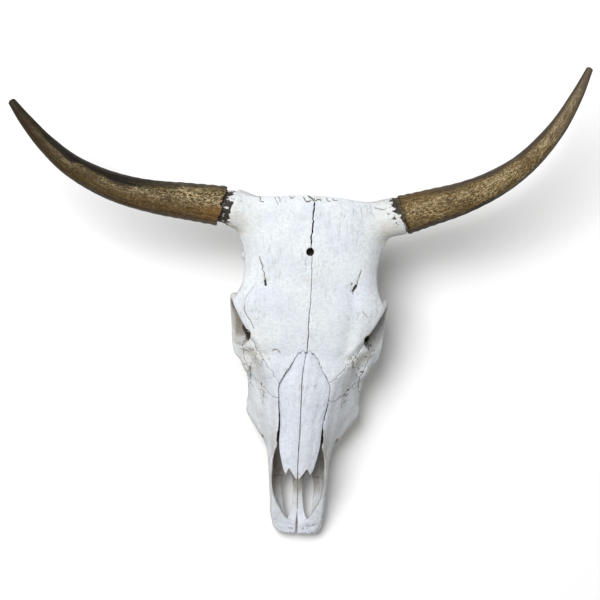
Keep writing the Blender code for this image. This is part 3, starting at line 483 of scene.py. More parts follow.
def tube(rows, samples, count=20, closed=False, flat=(0, 0, 1)):
    """A tube: an oval of the row's half width and depth carried along the curve through the rows' places."""
    read = spline(rows, samples, closed)
    path, radii = read[:, :3], np.maximum(read[:, 3:], 0.4)
    along = np.roll(path, -1, axis=0) - np.roll(path, 1, axis=0) if closed else np.gradient(path, axis=0)
    along /= np.linalg.norm(along, axis=1)[:, None]
    side = np.cross(along, np.asarray(flat, float))
    side /= np.linalg.norm(side, axis=1)[:, None]
    deep = np.cross(side, along)
    turn = angles(count)
    rings = (path[:, None] + np.cos(turn)[None, :, None] * side[:, None] * radii[:, None, :1]
             + np.sin(turn)[None, :, None] * deep[:, None] * radii[:, None, 1:2])
    return closed_grid(rings, joined=closed)


def ellipsoid(center, radii, turn_z):
    """An ellipsoid: a sphere in latitude and longitude, stretched to its half sizes and turned about Z."""
    last = math.pi / 2 - 0.05
    lat = np.linspace(-last, last, 20)[:, None]
    lon = angles(32)
    ball = [np.cos(lat) * np.cos(lon), np.cos(lat) * np.sin(lon), np.sin(lat) + 0 * lon]
    p = np.stack(ball, axis=-1) * radii
    c, s = math.cos(math.radians(turn_z)), math.sin(math.radians(turn_z))
    return closed_grid(p @ np.array([[c, -s, 0], [s, c, 0], [0, 0, 1]]).T + center)


def both(form):
    """The form and its mirror image on the other side of the midline."""
    points, quads = form
    return form, (points * (-1, 1, 1), quads[:, ::-1])


def face_form():
    """The face: half sections of nine points, from the nose to the cheeks, with the palate as its floor."""
    stations = np.concatenate([np.linspace(FACE_START, 22, 9), np.linspace(26, FACE_END, 90)])
    halves = []
    for y, top, row in zip(stations, dorsum(stations), smooth_rows(FACE, stations)):
        shoulder_x, shoulder_z, side_x, side_z, low_x, low_z, palate = row
        roofed = np.clip((y - ROOF_FROM) / ROOF_RISE, 0, 1)
        sunk = ROOF_SUNK * (1 - step(*ROOF_UP, y))
        top = shoulder_z + 1.0 + roofed * max(top - sunk - shoulder_z, 0)
        ending = step(ROOF_END_FROM, FACE_END, y)
        top, shoulder_z = top - ROOF_END_SUNK * ending, shoulder_z - ROOF_END_SUNK * ending
        halves.append([
            (0, top), (shoulder_x * 0.55, top * 0.72 + shoulder_z * 0.28), (shoulder_x, shoulder_z),
            (0.52 * shoulder_x + 0.48 * side_x, 0.56 * shoulder_z + 0.44 * side_z), (side_x, side_z),
            (0.45 * side_x + 0.55 * low_x, 0.4 * side_z + 0.6 * low_z), (low_x, low_z),
            (low_x - 14, low_z + 4), (0, palate)])
    return sections(stations, halves, 72)


def forehead_form():
    """The broad plate of the forehead: half sections of eight points, from the nasal roots to the poll."""
    stations = np.linspace(FOREHEAD_FRONT, POLL_Y, 96)
    halves = []
    for y, top, (edge, edge_z, under) in zip(stations, dorsum(stations), smooth_rows(FOREHEAD, stations)):
        sunk = FOREHEAD_SUNK * (1 - step(FOREHEAD_FRONT, FOREHEAD_RISEN, y))
        top, edge_z = top - sunk, edge_z - sunk
        drop = top - edge_z
        halves.append([
            (0, top), (0.45 * edge, top - 0.10 * drop), (0.8 * edge, top - 0.40 * drop),
            (edge - 3, edge_z + 5), (edge, edge_z - 4), (edge - 9, edge_z - 13), (0.55 * edge, under),
            (0, under)])
    points, quads = sections(stations, halves, 72)
    bow = POLL_OUT - (POLL_OUT + POLL_IN) * np.minimum(1, (points[:, 0] / POLL_HALF) ** 2)
    points[:, 1] += bow * step(POLL_FROM, POLL_Y, points[:, 1])
    return points, quads


def braincase_form():
    """The braincase: half sections of seven points, down to the skull's base and back to the nuchal wall."""
    stations = np.linspace(BRAINCASE[0][0], BRAINCASE[-1][0], 70)
    halves = []
    for side, side_z, low, low_z, bottom in smooth_rows(BRAINCASE, stations):
        halves.append([(0, 150), (0.6 * side, 148), (0.95 * side, side_z + 16), (side, side_z),
                       (0.5 * side + 0.5 * low, 0.6 * side_z + 0.4 * low_z), (low, low_z), (0, bottom)])
    return sections(stations, halves, 60)


def nasal_hollow_form():
    """The hollow behind the nostrils: half sections of six points."""
    stations = np.linspace(NASAL_HOLLOW[0][0], NASAL_HOLLOW[-1][0], 70)
    halves = []
    for half, floor, roof in smooth_rows(NASAL_HOLLOW, stations):
        halves.append([(0, roof), (half * 0.8, roof - 2), (half, 0.6 * roof + 0.4 * floor),
                       (half * 0.96, 0.2 * roof + 0.8 * floor), (half * 0.6, floor + 1), (0, floor)])
    return sections(stations, halves, 48)


def orbit_form():
    """The hollow of an orbit: the rim's line drawn in towards the deep end, and carried out past the rim."""
    rim = spline(np.array(ORBIT_RIM)[:, :3], 48, closed=True)
    center = rim.mean(axis=0)
    deep = np.array(ORBIT_DEEP, float)
    out = (center - deep) / np.linalg.norm(center - deep)
    rings = []
    for share, size in ORBIT_STEPS:
        middle = center + (deep - center) * share if share >= 0 else center - out * share * ORBIT_OUTSIDE
        rings.append(middle + (rim - center) * size)
    return closed_grid(rings)


def horn_line(side, count):
    """Points along a horn's centre line with its radius, and its direction and two directions across it."""
    read = spline(HORN[side], count)
    read[:, 0] *= side
    along = np.gradient(read[:, :3], axis=0)
    along /= np.linalg.norm(along, axis=1)[:, None]
    across = np.cross(along, (0, 0, 1))
    across /= np.linalg.norm(across, axis=1)[:, None]
    return read[:, :3], read[:, 3], along, across, np.cross(across, along)


def neck_form(side):
    """The flare of the forehead's corner that a horn sits on."""
    x, y, z, _ = HORN[side][0]
    rows = np.array([*NECK, (x - NECK_SHORT[side], y, z, *NECK_END)], float)
    rows[:, 0] *= side
    return tube(rows, 20, 40)


def core_form(side):
    """The bone core of a horn, from inside the forehead's corner to near the bottom of the horn's socket.

    The lattice that it is melted into ends sooner, and cuts the core off there, out of sight in the socket.
    """
    count = 200
    path, radius, along, across, up = horn_line(side, count)
    last = int(count * HORN_BORE_DEPTH / HORN_LENGTH) - 3
    path = np.vstack([path[0] - along[0] * CORE_ROOT, path[:last]])
    radius, across, up = (np.concatenate([v[:1], v[:last]]) for v in (radius, across, up))
    line = round_lines(angles(48), across, up)
    return closed_grid(path[:, None] + (radius - HORN_WALL - CORE_PLAY)[:, None, None] * line)


def nasal_plate(side, top_lift=0.0, cleared=False):
    """A nasal bone as a closed grid of rings across it.

    Each ring runs over the curved roof from the midline to the outer edge and back under it, with a shallow
    furrow along the outer third. The front line has two points with a notch between them, and the back line
    reaches furthest back a little off the midline. The two bones meet on a line that wanders off the
    midline, and they part a little halfway along it, which the place cleared for them doesn't need.
    """
    u = np.linspace(0, 1, NASAL_COLUMNS)
    v = np.linspace(0, 1, NASAL_ROWS)[:, None]
    front = read_line(NASAL_FRONT, u)
    back = NASAL_BACK - 2.0 + 6.0 * np.exp(-((u - 0.42) / 0.22) ** 2)
    y = front + (back - front) * v
    half, drop = smooth_rows(NASAL, np.minimum(y, NASAL_BACK).ravel()).T
    half, drop = half.reshape(y.shape), drop.reshape(y.shape)
    inner = NASAL_GAP + side * smooth_rows(NASAL_MIDDLE, y.ravel())[:, 0].reshape(y.shape) * (1 - cleared)
    inner = inner + NASAL_PARTED * np.exp(-((y - 190) / 45) ** 2) * (1 - cleared)
    furrow = NASAL_FURROW * np.exp(-((u - 0.66) / 0.16) ** 2) * step(105, 145, y) * step(272, 225, y)
    x = inner + (half - inner) * u
    z = dorsum(y.ravel()).reshape(y.shape) - drop * u**2 + NASAL_SWELL * (np.sin(math.pi * u) - 1) - furrow
    thick = NASAL_WALL * (0.35 + 0.65 * np.minimum(1, 14 * u * (1 - u)) * np.minimum(1, 12 * v))
    top = np.stack([x, y, z + top_lift], axis=-1)
    under = np.stack([x, y, z - thick], axis=-1)
    rings = np.concatenate([top, under[:, ::-1]], axis=1) * (side, 1, 1)
    points, quads = plate_grid(rings)
    return points, quads if side > 0 else quads[:, ::-1]


# ------------------------------------------------------------------------------ the distance volume

def sampled(values, places):
    """A lattice of values read at places given in its steps, blended between the eight samples round each."""
    p = np.clip(places, 0, np.array(values.shape) - 1.001)
    cell = p.astype(int)
    f = (p - cell).astype(np.float32)
    total = np.zeros(len(p), np.float32)
    for corner in CORNERS:
        weight = np.prod([f[:, k] if corner[k] else 1 - f[:, k] for k in range(3)], axis=0)
        total += weight * values[tuple((cell + corner).T)]
    return total


def averaged(values, rounds):
    """Values after rounds of averaging: along each axis, half of each and a quarter of each neighbour."""
    for _ in range(rounds):
        for axis in range(3):
            lines = np.moveaxis(values, axis, 0)
            inner = 0.5 * lines[1:-1] + 0.25 * (lines[:-2] + lines[2:])
            values = np.moveaxis(np.concatenate([lines[:1], inner, lines[-1:]]), 0, axis)
    return np.ascontiguousarray(values)


class Volume:
    """Samples of the signed distance to a surface, on a lattice with the given step.

    The bones have cups, arches and holes, which one grid of two parameters can't give, so the grids of the
    named forms are turned into distances here, melted together, cut and parted, and drawn as a surface again.
    """

    # Two corners of the lattice, round the whole skull but for its horns and the ends of their cores.
    LOW = (-156.0, -8.0, -6.0)
    HIGH = (156.0, 526.0, 204.0)

    def __init__(self, pitch):
        self.step = pitch
        self.first = np.floor(np.array(self.LOW) / pitch).astype(int)
        self.shape = tuple(np.ceil(np.array(self.HIGH) / pitch).astype(int) - self.first)
        self.axes = [(self.first[k] + np.arange(self.shape[k])).astype(np.float32) * pitch for k in range(3)]
        self.field = np.full(self.shape, REACH, np.float32)
        self.stain = np.zeros(self.shape, np.float32)

    def part(self, low, high):
        """The slices of the lattice between two corners."""
        a = np.clip(np.floor(np.asarray(low) / self.step).astype(int) - self.first, 0, self.shape)
        b = np.clip(np.ceil(np.asarray(high) / self.step).astype(int) - self.first + 1, 0, self.shape)
        return tuple(slice(i, j) for i, j in zip(a, b))

    def distance(self, form):
        """The slices that a closed form fills with its reach, and the distances to it there."""
        points, quads = form
        where = self.part(points.min(axis=0) - REACH, points.max(axis=0) + REACH)
        grid = openvdb.FloatGrid.createLevelSetFromPolygons(
            points.astype(np.float32), quads=quads.astype(np.uint32),
            transform=openvdb.createLinearTransform(voxelSize=self.step), halfWidth=REACH / self.step)
        values = np.empty([s.stop - s.start for s in where], np.float32)
        grid.copyToArray(values, ijk=tuple(int(self.first[k] + where[k].start) for k in range(3)))
        return where, values

    def add(self, form, melt=MELT):
        """Join a form to the field: the smaller distance, rounded where the two meet over the width melt."""
        where, other = self.distance(form)
        here = self.field[where]
        near = np.maximum(melt - abs(here - other), 0) / melt
        self.field[where] = np.minimum(here, other) - near * near * (melt / 4)

    def cut(self, form, melt=CUT_MELT, grow=0.0, stain=0.0):
        """Take a form out of the field: the larger of the field and the form's opposite, rounded alike.

        The bone close to the form is noted as stained: that stain paints painted shade and some dirt on the
        walls of the hollow.
        """
        where, other = self.distance(form)
        self.stain[where] = np.maximum(self.stain[where], stain * step(2.6, 1.2, other))
        here = self.field[where]
        other = -(other - grow)
        near = np.maximum(melt - abs(here - other), 0) / melt
        self.field[where] = np.maximum(here, other) + near * near * (melt / 4)

    def carve(self, opened, heights):
        """Cut away what a plan opens, at the samples whose heights are marked."""
        carved = np.maximum(self.field, opened[:, :, None])
        self.field = np.where(heights, carved, self.field).astype(np.float32)

    def read(self, points):
        """The field at points."""
        return sampled(self.field, np.asarray(points) / self.step - self.first)

    def stained(self, points):
        """How much stain and painted shade the bone carries at points: the walls of the deep hollows carry
        them.
        """
        return sampled(self.stain, np.asarray(points) / self.step - self.first)

    def soften(self, rounds):
        """Average each sample with its neighbours, a round at a time: edges and seams get a small radius."""
        self.field = averaged(self.field, rounds)

    def crowding(self, stride=4, rounds=9):
        """A function that tells what share of the space round a point is bone, over some 10 mm."""
        coarse = self.field[::stride, ::stride, ::stride]
        filled = averaged(np.clip(0.5 - coarse / (stride * self.step), 0, 1), rounds)
        return lambda points: sampled(filled, (np.asarray(points) / self.step - self.first) / stride)

    def extent(self, upwards):
        """The height of the bone's highest, or lowest, sample in each column, and 0 where there is none."""
        solid = self.field < 0
        solid = solid[:, :, ::-1] if upwards else solid
        number = solid.argmax(axis=2)
        number = self.shape[2] - 1 - number if upwards else number
        return np.where(solid.any(axis=2), self.axes[2][number], 0)

    def surface(self, where, values):
        """The surface where values pass through zero, as points and quads with its faces outwards."""
        grid = openvdb.FloatGrid(REACH)
        grid.gridClass = openvdb.GridClass.LEVEL_SET
        grid.transform = openvdb.createLinearTransform(voxelSize=self.step)
        grid.copyFromArray(values, ijk=tuple(int(self.first[k] + where[k].start) for k in range(3)))
        points, _, quads = grid.convertToPolygons(0.0, 0.0)
        return points.astype(float), quads[:, ::-1].astype(np.int64)


def outline_distance(outline, a, b):
    """Signed distance from the points a, b to a closed outline: the nearest edge, below zero inside it."""
    p = np.asarray(outline, float)
    q = np.roll(p, -1, axis=0)
    best = np.full(np.broadcast(a, b).shape, np.inf)
    inside = np.zeros(best.shape, bool)
    for (x0, y0), (x1, y1) in zip(p, q):
        dx, dy = x1 - x0, y1 - y0
        t = np.clip(((a - x0) * dx + (b - y0) * dy) / (dx * dx + dy * dy), 0, 1)
        best = np.minimum(best, (a - x0 - t * dx) ** 2 + (b - y0 - t * dy) ** 2)
        if y0 != y1:
            inside ^= ((y0 > b) != (y1 > b)) & (a < (x1 - x0) * (b - y0) / (y1 - y0) + x0)
    return (np.sqrt(best) * np.where(inside, -1, 1)).astype(np.float32)


def line_distance(line, a, b):
    """Distance from the points a, b to an open line, and how far along it the nearest point is, 0 to 1."""
    p = np.asarray(line, float)
    lengths = np.linalg.norm(np.diff(p, axis=0), axis=1)
    reached = np.concatenate([[0], np.cumsum(lengths)]) / lengths.sum()
    best = np.full(np.broadcast(a, b).shape, np.inf)
    along = np.zeros(best.shape)
    for k in range(len(p) - 1):
        (x0, y0), (x1, y1) = p[k], p[k + 1]
        dx, dy = x1 - x0, y1 - y0
        t = np.clip(((a - x0) * dx + (b - y0) * dy) / (dx * dx + dy * dy), 0, 1)
        d = np.hypot(a - x0 - t * dx, b - y0 - t * dy)
        nearer = d < best
        along = np.where(nearer, reached[k] + t * (reached[k + 1] - reached[k]), along)
        best = np.where(nearer, d, best)
    return best, along


# Furrows and cracks in the roof of the skull, in plan: the line, half width, depth, and how dark its
# bottom is.
FURROWS = [
    ([(-76, 423), (-70.5, 404), (-63.5, 383)], 1.0, 1.3, 0.75),
    ([(73.5, 411), (70, 394), (63.6, 376)], 1.0, 1.3, 0.75),
    ([(-66.3, 388.5), (-64.3, 382)], 1.2, 7.0, 0.9),
    ([(67.6, 389), (64.2, 380)], 1.3, 8.0, 0.9),
    ([(61.5, 391), (61.2, 389.5)], 0.9, 4.0, 0.9),
    ([(-78.7, 384), (-90, 369), (-95.6, 358), (-96, 348)], 0.8, 0.9, 0.45),
    ([(-96, 350), (-95, 343), (-91.2, 336.5), (-84.7, 326.4), (-79, 318)], 0.8, 1.0, 0.75),
    ([(79, 350), (83, 345.5), (86.7, 341.4)], 0.9, 0.9, 0.55),
    ([(-51.2, 284.5), (-48, 287), (-45.5, 288.6), (-42, 285.5), (-39.3, 284)], 1.0, 1.2, 0.75),
    ([(-8.3, 427), (-7.7, 418), (-7.3, 407)], 0.8, 0.8, 0.4),
    ([(-82, 512), (-79, 505), (-76, 503)], 1.0, 1.1, 0.7),
    ([(-60, 516), (-57, 508), (-53.3, 500)], 1.0, 1.2, 0.6),
    ([(-54, 514), (-50, 505)], 0.9, 1.0, 0.55),
    ([(-36, 514), (-34, 511), (-29, 513)], 1.0, 1.1, 0.7),
    ([(-16.4, 514), (-11, 507), (-6, 509)], 1.1, 1.5, 0.9),
    ([(-10.5, 515), (-4, 512), (0.5, 509), (6, 512), (10, 511)], 1.3, 1.9, 1.0),
    ([(17.4, 515), (20, 511), (24, 510)], 1.0, 1.3, 0.8),
    ([(26, 514), (29.8, 510), (33, 511)], 1.0, 1.2, 0.7),
    ([(90, 505), (100, 501), (106, 503)], 1.0, 1.1, 0.6),
]

# The same for the under side: the grooves and the sutures of the palate, and those of the base.
UNDER_FURROWS = [
    ([(24, 222), (21, 180), (17, 130), (16, 108)], 2.0, 1.6, 0.2),
    ([(-24, 222), (-21, 180), (-17, 130), (-16, 108)], 2.0, 1.6, 0.2),
    ([(-43, 262), (-38, 238), (-24, 227), (-8, 224), (0, 228), (8, 224), (24, 227), (38, 238), (43, 262)],
     0.9, 1.3, 0.5),
    ([(-20, 352), (-8, 349), (0, 352), (8, 349), (20, 352)], 0.8, 1.0, 0.4),
    ([(0, 356), (0, 392)], 5.0, 1.4, 0.1),
]

# A furrow cuts only bone near the top or the bottom of the skull: it fades out between these depths.
FURROW_FADE = (-13, -9)

# Broad shallow furrows that run forward from the two slits, and the hollows beside the forehead's middle:
# line, half width, depth.
HOLLOWS = [
    ([(-65, 384), (-63, 345), (-59, 305), (-52, 262)], 10.0, 2.3),
    ([(65, 380), (66, 345), (61, 305), (54, 262)], 10.0, 2.3),
    ([(-30, 470), (-34, 410), (-30, 350)], 24.0, 1.0),
    ([(30, 470), (34, 410), (30, 350)], 24.0, 1.0),
]

# They come in over these stations and heights.
HOLLOWS_FROM = (255, 275)
HOLLOWS_ABOVE = (118, 132)

# The same beside the nasal bones, and in front of and behind the facial tuber, for both sides.
FACE_HOLLOWS = [
    ([(50, 242), (47, 205), (42, 160), (42, 130)], 7.0, 2.4),
    ([(64, 236), (66, 214)], 8.0, 2.3),
    ([(62, 160), (66, 180)], 8.0, 2.2),
    ([(74, 262), (80, 240)], 6.0, 1.7),
]
FACE_HOLLOWS_ABOVE = (62, 78)


def wandered(x, y):
    """The points x, y moved a little by noise, so that a straight line read at them wanders."""
    place = on_table(x, y)
    return x + 1.2 * noise(place, 5, 25), y + 1.2 * noise(place, 5, 26)


def furrow_depths(furrows, x, y):
    """How deep furrows lie under the points x, y: each line's depth with a bell's fall to its sides.

    A shallow furrow runs out at both ends of its line, and each wanders a little.
    """
    x, y = wandered(x, y)
    depth = np.zeros(np.broadcast(x, y).shape)
    for line, width, deep, _ in furrows:
        d, along = line_distance(line, x, y)
        ends = step(-0.02, 0.3, np.minimum(along, 1 - along)) if deep < 2 else 1.0
        depth = np.maximum(depth, deep * np.exp(-(d / width) ** 2) * ends)
    return depth


def hollow_depths(hollows, x, y):
    """How deep broad hollows lie under the points x, y."""
    return sum(deep * np.exp(-(line_distance(line, x, y)[0] / width) ** 2) for line, width, deep in hollows)


def furrow_shade(x, y):
    """How dark the furrows are under the points x, y."""
    x, y = wandered(x, y)
    shade = np.zeros(np.broadcast(x, y).shape)
    for line, width, _, dark in FURROWS:
        d, _ = line_distance(line, x, y)
        shade = np.maximum(shade, dark * np.exp(-(d / (width * 0.8)) ** 2))
    return shade


def whole_skull(pitch):
    """The skull before its bones are parted: every form joined, then every hollow cut."""
    volume = Volume(pitch)
    for form in (face_form(), forehead_form(), braincase_form()):
        volume.add(form)
    halves = [tube(ORBIT_RIM, 72, 24, True, ORBIT_FLAT), tube(ARCH, 40), tube(JUGULAR, 30, flat=(0, 1, 0)),
              tube(PTERYGOID, 30)]
    halves += [ellipsoid(*row) for row in ROUNDED]
    for form in halves:
        for half in both(form):
            volume.add(half)
    for row in (*MIDDLE_ROUNDED, RIGHT_ROUNDED):
        volume.add(ellipsoid(*row))
    for side in SIDES.values():
        volume.add(neck_form(side))
    volume.soften(3)

    x, y, z = volume.axes
    broad = hollow_depths(HOLLOWS, x[:, None], y[None, :]).astype(np.float32) * step(*HOLLOWS_FROM, y)
    volume.field += broad[:, :, None] * step(*HOLLOWS_ABOVE, z)
    broad = hollow_depths(FACE_HOLLOWS, abs(x)[:, None], y[None, :]).astype(np.float32)
    volume.field += broad[:, :, None] * step(*FACE_HOLLOWS_ABOVE, z)
    for furrows, upwards in ((FURROWS, True), (UNDER_FURROWS, False)):
        plan = furrow_depths(furrows, x[:, None], y[None, :]).astype(np.float32)[:, :, None]
        depth = z - volume.extent(upwards)[:, :, None] if upwards else volume.extent(upwards)[:, :, None] - z
        volume.field += plan * step(*FURROW_FADE, depth.astype(np.float32))

    volume.cut(nasal_hollow_form(), stain=0.45)
    volume.cut(tube(NECK_CANAL, 20, 32), stain=0.6)
    # Each of these with how much stain and painted shade its walls get on the left and on the right; the pit
    # at the orbit's inner corner gets so much that it is painted black.
    cuts = ((orbit_form(), (0.42, 0.66)), (tube(EAR_HOLE, 16), (0.6, 0.6)), (tube(THROAT, 20), (0.5, 0.5)),
            (tube(CHEEK_HOLE, 16), (0.4, 0.4)), (ellipsoid(*ORBIT_PIT), (1.0, 1.0)))
    for form, stains in cuts:
        for half, stain in zip(both(form), stains):
            volume.cut(half, stain=stain)
    for row in PASSAGES:
        for half in both(ellipsoid(*row)):
            volume.cut(half, melt=1.0)
    cut_upright(volume)
    for side in SIDES.values():
        volume.add(core_form(side), melt=1.5)
    return volume


def cut_upright(volume):
    """Cut what runs straight up and down.

    That is the slots in the palate, the cleft between the nose's tips, the slits beside the nasal bones, the
    round hole in the forehead, and whatever lies under the table.
    """
    x, y, z = volume.axes
    middle, width = smooth_rows(PALATE_SLOT, y).T
    inside = (y > PALATE_SLOT[0][0]) & (y < PALATE_SLOT[-1][0])
    slots = np.where(inside, width[None, :] - abs(abs(x)[:, None] - middle), -4.0)
    cleft = smooth_rows(CLEFT, y)[:, 0][None, :] - abs(x + 0.5)[:, None]
    volume.carve(np.maximum(slots, cleft), z < CLEFT_TOP)
    half = smooth_rows(NASAL, np.minimum(y, NASAL_BACK))[:, 0]
    left, right = (step(*stations, y) for stations in SLIT_WIDENS)
    slit = SLIT_LEAST + SLIT * np.where(x[:, None] > 0, left, right)
    outer = half[None, :] + slit - abs(x)[:, None]
    inner = abs(x)[:, None] - half[None, :] + 0.6
    ends = np.minimum(y - SLIT_ENDS[0], SLIT_ENDS[1] - y)[None, :]
    slits = np.minimum(np.minimum(outer, inner), ends)
    deep = z > SLIT_BOTTOM
    volume.carve(slits, deep)
    # The slits' walls are painted nearly black: painted shade deep in the slits.
    volume.stain = np.maximum(volume.stain, 0.95 * deep * (slits > -0.6)[:, :, None]).astype(np.float32)
    hole = HOLE_RADIUS - np.hypot(x[:, None] - HOLE_AT[0], y[None, :] - HOLE_AT[1])
    volume.carve(hole, z > HOLE_BOTTOM)
    volume.field = np.maximum(volume.field, -z)


class Parting:
    """Works out, for each bone, how far a sample lies outside its share of the skull.

    The outlines are read at points that noise has moved, so that the sutures between the bones run in small
    waves, and the same noise serves both bones of a suture.
    """

    def __init__(self, volume, gap):
        x, y, z = volume.axes
        self.gap = self.gaps(gap, x[:, None], y[None, :])[:, :, None]
        self.swell = lattice_wave(volume.axes, 4.5, 15) * 0.9
        grid = on_table(x[:, None], y[None, :])
        wave = np.stack([noise(grid, 6, 11), noise(grid, 6, 12)], axis=-1) * 2.0
        wave += np.stack([noise(grid, 3.4, 13), noise(grid, 3.4, 14)], axis=-1) * 1.2
        self.plan_x, self.plan_y = x[:, None] + wave[..., 0], y[None, :] + wave[..., 1]
        self.wave = wave[..., 0]
        self.x, self.y, self.z = x, y, z
        self.middle = x[:, None] - self.midline(y)[None, :]

    @staticmethod
    def gaps(gap, x, y):
        """The width of the sutures: wide on the midline near the poll, elsewhere open in short stretches."""
        place = on_table(x, y)
        open_part = step(0.1, 0.5, noise(place, 11, 23))
        middle = np.exp(-(x / 9.0) ** 2) * step(282, 288, y)
        width = 0.10 + 0.32 * open_part * step(205, 235, y) * step(300, 270, y)
        crack = 0.34 + 0.4 * step(350, 335, y) + 1.25 * step(436, 452, y) * (0.85 + 0.5 * noise(place, 4, 24))
        return (gap / 0.55 * (width * (1 - middle) + crack * middle)).astype(np.float32)

    def midline(self, y):
        """The line between the two frontal bones: gently wandering, with fine teeth towards the poll."""
        rough = step(425, 445, y)
        place = np.column_stack([y, 0 * y, 0 * y])
        wander = read_line(FRONTAL_MIDDLE, y) * step(280, 286, y)
        return wander + rough * 0.9 * noise(place, 2.6, 21) + 0.5 * noise(place, 9, 22) * step(280, 300, y)

    def width_at(self, points):
        """The width of the sutures at points, from the nearest sample in plan."""
        pitch = self.x[1] - self.x[0]
        i = np.clip(((points[:, 0] - self.x[0]) / pitch).round().astype(int), 0, len(self.x) - 1)
        j = np.clip(((points[:, 1] - self.y[0]) / pitch).round().astype(int), 0, len(self.y) - 1)
        return self.gap[i, j, 0]

    def plan(self, outline, side):
        """How far a sample lies outside an outline in plan."""
        return outline_distance(outline, side * self.plan_x, self.plan_y)[:, :, None]

    def block(self, outline, side, low=UNDER_ALL, high=OVER_ALL):
        """How far a sample lies outside an outline in plan and two heights, both of which wander."""
        z = self.z[None, None, :] + 0.6 * self.wave[:, :, None]
        return np.maximum(self.plan(outline, side), np.maximum(low - z, z - high)) + self.swell

    def regions(self, word, side):
        """The share of each bone of one half, in the order in which they are parted."""
        swell = self.swell
        half = -side * self.middle[:, :, None]
        front = outline_distance(FRONTAL_FRONT, side * self.x[:, None], self.z[None, :])[:, None, :]
        profile = outline_distance(PREMAXILLA_SIDE, self.y[:, None], self.z[None, :])[None, :, :]
        yield f"zygomatic_{word}", lambda: self.block(ZYGOMATIC_PLAN, side, high=BASE_TOP)
        yield f"lacrimal_{word}", lambda: self.block(LACRIMAL_PLAN, side, low=LACRIMAL_FLOOR)
        yield f"frontal_{word}", lambda: np.maximum(
            np.maximum(self.plan(FRONTAL_PLAN, side), front) + swell, half)
        yield f"temporal_{word}", lambda: self.block(TEMPORAL_PLAN, side, high=TEMPORAL_TOP)
        yield f"premaxilla_{word}", lambda: np.maximum(profile + swell, half)
        yield f"maxilla_{word}", lambda: np.maximum((self.plan_y - BASE_FRONT)[:, :, None] + swell, half)


# -------------------------------------------------------------------------------- meshes and pieces

def point_normals(points, quads):
    """Direction of the surface at each point: the sum of the directions of the faces round it."""
    a, b, c, d = (points[quads[:, k]] for k in range(4))
    face = np.cross(c - a, d - b)
    total = np.zeros_like(points)
    for k in range(4):
        for axis in range(3):
            total[:, axis] += np.bincount(quads[:, k], face[:, axis], len(points))
    return total / np.maximum(np.linalg.norm(total, axis=1), 1e-9)[:, None]


def largest_body(points, quads):
    """The body with the most points: neighbours take the lowest number among them until none changes."""
    ends = np.concatenate([quads[:, [0, 1]], quads[:, [1, 2]], quads[:, [2, 3]]])
    label = np.arange(len(points))
    while True:
        a, b = label[ends[:, 0]], label[ends[:, 1]]
        differ = a != b
        if not differ.any():
            break
        np.minimum.at(label, np.maximum(a, b)[differ], np.minimum(a, b)[differ])
        while (label[label] != label).any():
            label = label[label]
    keep = label == np.bincount(label).argmax()
    number = np.cumsum(keep) - 1
    return points[keep], number[quads[keep[quads[:, 0]]]]


def placed(name, data):
    """A new object in the scene."""
    obj = bpy.data.objects.new(name, data)
    bpy.context.scene.collection.objects.link(obj)
    return obj


def piece(name, points, quads, material, nodes, finish, rod=None):
    """A finished piece from points in millimetres: placed in its mesh, shaded smooth, and riding the frame.

    Its attributes are the masks of its finish, and for a horn the place of each point on a straight rod.
    """
    points = points.copy()
    points[:, 0] += lean(points[:, 1])
    mesh = bpy.data.meshes.new(name)
    mesh.vertices.add(len(points))
    mesh.vertices.foreach_set("co", ((points + SHIFT) * MM).astype(np.float32).ravel())
    mesh.loops.add(quads.size)
    mesh.loops.foreach_set("vertex_index", quads.astype(np.int32).ravel())
    mesh.polygons.add(len(quads))
    mesh.polygons.foreach_set("loop_start", np.arange(0, quads.size, 4, dtype=np.int32))
    mesh.polygons.foreach_set("use_smooth", np.ones(len(quads), bool))
    layer = mesh.attributes.new("finish", "FLOAT_COLOR", "POINT")
    layer.data.foreach_set("color", finish.astype(np.float32).ravel())
    if rod is not None:
        layer = mesh.attributes.new("rod", "FLOAT_VECTOR", "POINT")
        layer.data.foreach_set("vector", (rod * MM).astype(np.float32).ravel())
    mesh.validate(clean_customdata=False)
    mesh.update()
    mesh.materials.append(material)
    obj = placed(name, mesh)
    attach(obj, "root")
    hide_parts(*nodes)


# Where the bone is spongy: centre, reach, strength. They stand for the left side and are mirrored.
SPONGY = [
    ((76, 296, 112), 22, 1.4), ((70, 276, 128), 22, 1.1), ((92, 300, 100), 18, 0.9),
    ((86, 262, 105), 20, 0.8), ((128, 495, 152), 30, 0.8), ((112, 508, 156), 20, 0.6),
    ((84, 200, 52), 22, 0.6), ((46, 424, 50), 18, 0.4), ((60, 500, 150), 26, 0.3), ((20, 8, 18), 22, 0.8),
    ((38, 30, 30), 16, 0.6), ((72, 236, 84), 16, 0.7), ((67, 227, 104), 12, 1.3),
    ((61, 211, 103), 10, 1.2),
]

# The same on the left alone: the flaked collar under the horn's rim.
LEFT_SPONGY = [((119, 508, 168), 16, 2.2), ((124, 490, 178), 12, 1.6), ((108, 512, 166), 10, 1.0)]

# Where the bone has a cool lilac tint: centre, reach, strength.
COOL = [
    ((0, 190, 130), 90, 0.9), ((66, 372, 160), 34, 0.8), ((-70, 362, 160), 30, 0.5),
    ((0, 14, 24), 46, 0.8), ((50, 190, 110), 30, 0.5), ((-50, 190, 110), 30, 0.4),
    ((40, 455, 180), 40, 0.35),
]

# Where the walls of the nasal hollow get more painted shade: centre, reach, strength.
NOSE_SHADE = [((-38, 95, 60), 40, 0.8), ((0, 86, 38), 22, 0.8), ((32, 115, 85), 24, 0.5)]

# The right horn's bare core: station, how far out the bone's ragged end is there.
CORE_EDGE = [(466, 124), (480, 121), (500, 119), (520, 119)]

# The bare band under the left horn's rim: station, how far before the rim it starts there, and its widest;
# and the direction in which the horn leaves its rim.
LEFT_BAND = [(470, 6), (486, -1), (500, -7), (525, -10)]
LEFT_BAND_WIDE = 16.0
LEFT_HORN_AXIS = (0.942, 0.314, 0.116)

# Both lie behind this station.
COLLAR_FRONT = 450.0
